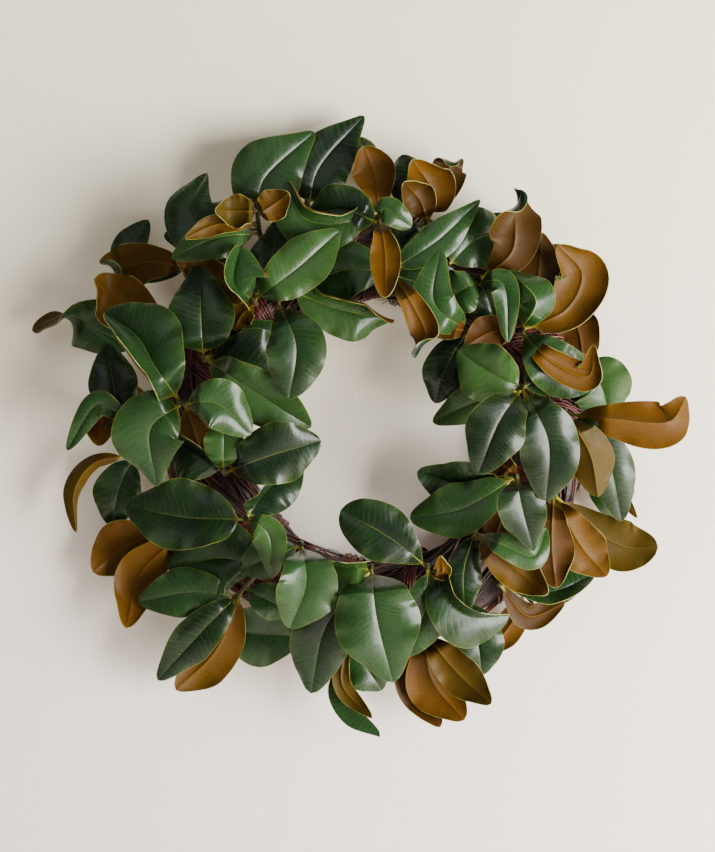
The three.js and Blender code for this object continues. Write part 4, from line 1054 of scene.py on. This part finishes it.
def running_twig():
    """A long twig that lies along the ring and drifts round the bundle."""
    share = np.linspace(0, 1, TWIG_STATIONS)
    start, angle, length = rng.uniform(0, 1), rng.uniform(0, 1), rng.uniform(0.4, 0.9)
    drift = RING_TURNS / RING_STRANDS * rng.uniform(0.5, 1.2)
    sway = 0.02 * np.sin(2 * np.pi * (rng.uniform(1.5, 4) * share + rng.uniform(0, 1)))
    out = rng.uniform(-3, 2.5) * np.ones_like(share) - 5 * (1 - np.sin(np.pi * share) ** 0.4)
    out = out + 0.8 * np.sin(2 * np.pi * (rng.uniform(3, 7) * share + rng.uniform(0, 1)))
    points = on_bundle(start + length * share, angle + drift * length * share + sway, out)
    return points, twig_radii(rng.uniform(1.1, 2.1), share, rng.uniform(0.05, 0.95, 5))


def winding_band(start, angle, lean, count):
    """A few twigs side by side that wind steeply round the bundle and hold it."""
    share = np.linspace(0, 1, TWIG_STATIONS)
    made = []
    for k in range(count):
        begin = start + (k + rng.uniform(-0.25, 0.25)) * BAND_STEP / (2 * np.pi * RING_RADIUS)
        out = 1.6 + rng.uniform(-0.4, 0.9)
        out = out + 0.5 * np.sin(2 * np.pi * (rng.uniform(2, 5) * share + rng.uniform(0, 1)))
        out = out - 6 * np.maximum(smooth(0.08, 0, share), smooth(0.92, 1, share))
        turns = rng.uniform(1.1, 1.7)
        points = on_bundle(begin + lean * turns * share, angle + turns * share, out)
        made.append((points, twig_radii(rng.uniform(1.0, 1.5), share, rng.uniform(0.05, 0.95, 4))))
    return made


def loose_end():
    """A short thin end that stands off the bundle."""
    share = np.linspace(0, 1, LOOSE_STATIONS)
    start, angle = rng.uniform(0, 1), rng.uniform(-0.1, 0.6)
    length = rng.uniform(0.03, 0.1) * rng.choice([-1, 1])
    out = -3 + rng.uniform(5, 13) * share**1.6
    points = on_bundle(start + length * share, angle + rng.uniform(-0.12, 0.12) * share, out)
    return points, rng.uniform(0.5, 0.9) * (1 - 0.6 * share)


def ring_piece(name, runs, finish):
    piece = tubes(name, runs, finish)
    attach(piece, "root")
    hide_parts("twig_ring")


running = [running_twig() for _ in range(TWIGS)]
for k, finish_of in enumerate(TWIG_BARKS):
    ring_piece(f"ring_twigs_{k + 1}", running[k :: len(TWIG_BARKS)], finish_of)
bands = []
for k in range(BANDS):
    start = (k + rng.uniform(-0.3, 0.3)) / BANDS
    bands += winding_band(start, rng.uniform(0, 1), rng.uniform(0.05, 0.11), BAND_TWIGS)
ring_piece("ring_windings", bands, TWIG_BARKS[0])
ring_piece("ring_loose_ends", [loose_end() for _ in range(LOOSE_ENDS)], TWIG_BARKS[2])


def ring_core():
    """The dark heart of the bundle, under the twigs."""
    bpy.ops.mesh.primitive_torus_add(major_segments=160, minor_segments=36, major_radius=1, minor_radius=0.25)
    core = alone(bpy.context.object)
    co = coordinates(core.data)
    turn = np.arctan2(co[:, 1], co[:, 0]) / (2 * np.pi)
    angle = np.arctan2(co[:, 2], np.hypot(co[:, 0], co[:, 1]) - 1) / (2 * np.pi)
    core.data.vertices.foreach_set("co", on_bundle(turn, angle, np.full_like(turn, CORE_OUT)).ravel())
    core.data.materials.append(TWIG_BARKS[2])
    core.data.update()
    bpy.ops.object.mode_set(mode="EDIT")
    bpy.ops.mesh.select_all(action="SELECT")
    bpy.ops.mesh.normals_make_consistent(inside=False)
    bpy.ops.object.mode_set(mode="OBJECT")
    bpy.ops.object.shade_smooth()
    core.name = "ring_core"
    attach(core, "root")
    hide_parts("twig_ring")


ring_core()


# Wall, floor, light and camera

def wall_finish():
    """Pale paint. It is clear when seen from behind and casts no shadow, so that the back is lit and seen."""
    material, tree, shader = finish("wall_paint")
    high = add(tree, "SeparateXYZ", {0: here(tree)}).outputs[2]
    high = plus(tree, high, times(tree, noise(tree, 3), 0.2))
    colour = tint(tree, linear(*WALL_COLOUR_LOW), (fade(tree, high, *WALL_FADES), linear(*WALL_COLOUR)))
    roughness = fade(tree, noise(tree, 40), 0.3, 0.7, 0.8, 0.9)
    surface(tree, shader, colour, roughness, noise(tree, 260), 0.25)
    path = add(tree, "LightPath")
    backfacing = add(tree, "NewGeometry").outputs["Backfacing"]
    behind = times(tree, path.outputs["Is Camera Ray"], backfacing)
    clear = calc(tree, "MAXIMUM", behind, path.outputs["Is Shadow Ray"])
    glass = add(tree, "BsdfTransparent")
    mixed = add(tree, "MixShader", {0: clear, 1: shader.outputs[0], 2: glass.outputs[0]})
    tree.links.new(mixed.outputs[0], tree.nodes["Material Output"].inputs["Surface"])
    return material


def wall_and_floor():
    """One sheet: the wall behind the wreath, swept round into the floor far below."""
    bpy.ops.mesh.primitive_grid_add(x_subdivisions=2, y_subdivisions=40, size=1)
    sheet = alone(bpy.context.object)
    co = coordinates(sheet.data)
    gone = (0.5 - co[:, 1]) * (WALL_TOP - FLOOR_LEVEL + FLOOR_REACH)
    straight = WALL_TOP - FLOOR_LEVEL - SWEEP
    bend = np.clip((gone - straight) / (SWEEP * np.pi / 2), 0, 1) * np.pi / 2
    beyond = np.maximum(0, gone - straight - SWEEP * np.pi / 2)
    y = WALL_Y - SWEEP * (1 - np.cos(bend)) - beyond
    z = WALL_TOP - np.minimum(gone, straight) - SWEEP * np.sin(bend)
    sheet.data.vertices.foreach_set("co", np.stack([co[:, 0] * WALL_WIDTH, y, z], -1).ravel())
    sheet.data.update()
    sheet.data.materials.append(wall_finish())
    bpy.ops.object.shade_smooth()
    sheet.name = "wall_and_floor"


def softbox(name, spot, size, watts, colour):
    """A soft area light that shines at the wreath's middle."""
    light = bpy.data.lights.new(name, "AREA")
    light.shape = "RECTANGLE"
    light.size, light.size_y = size
    light.energy = watts
    light.color = colour
    lamp = bpy.data.objects.new(name, light)
    bpy.context.scene.collection.objects.link(lamp)
    lamp.location = spot
    lamp.rotation_euler = (Vector(CENTRE) - Vector(spot)).to_track_quat("-Z", "Y").to_euler()
    lamp.visible_camera = False


wall_and_floor()
for name, settings in LIGHTS.items():
    softbox(name, *settings)

world = bpy.data.worlds.new("pale_room")
bpy.context.scene.world = world
world.use_nodes = True
room = world.node_tree
seen_by_camera = add(room, "LightPath").outputs["Is Camera Ray"]
strength = fade(room, seen_by_camera, 0, 1, WORLD_LIGHT, WORLD_SEEN)
room.links.new(strength, room.nodes["Background"].inputs["Strength"])
room.nodes["Background"].inputs["Color"].default_value = WORLD_COLOUR

camera = bpy.data.cameras.new("camera")
camera.lens = SENSOR * VIEW_DISTANCE / VIEW_HEIGHT
camera.sensor_width = SENSOR
eye = bpy.data.objects.new("camera", camera)
bpy.context.scene.collection.objects.link(eye)
eye.location = (SIGHT_X * MM, -VIEW_DISTANCE * MM, (SIGHT_Z - HANG_HEIGHT) * MM)
eye.rotation_euler = (math.pi / 2, 0, 0)
bpy.context.scene.camera = eye
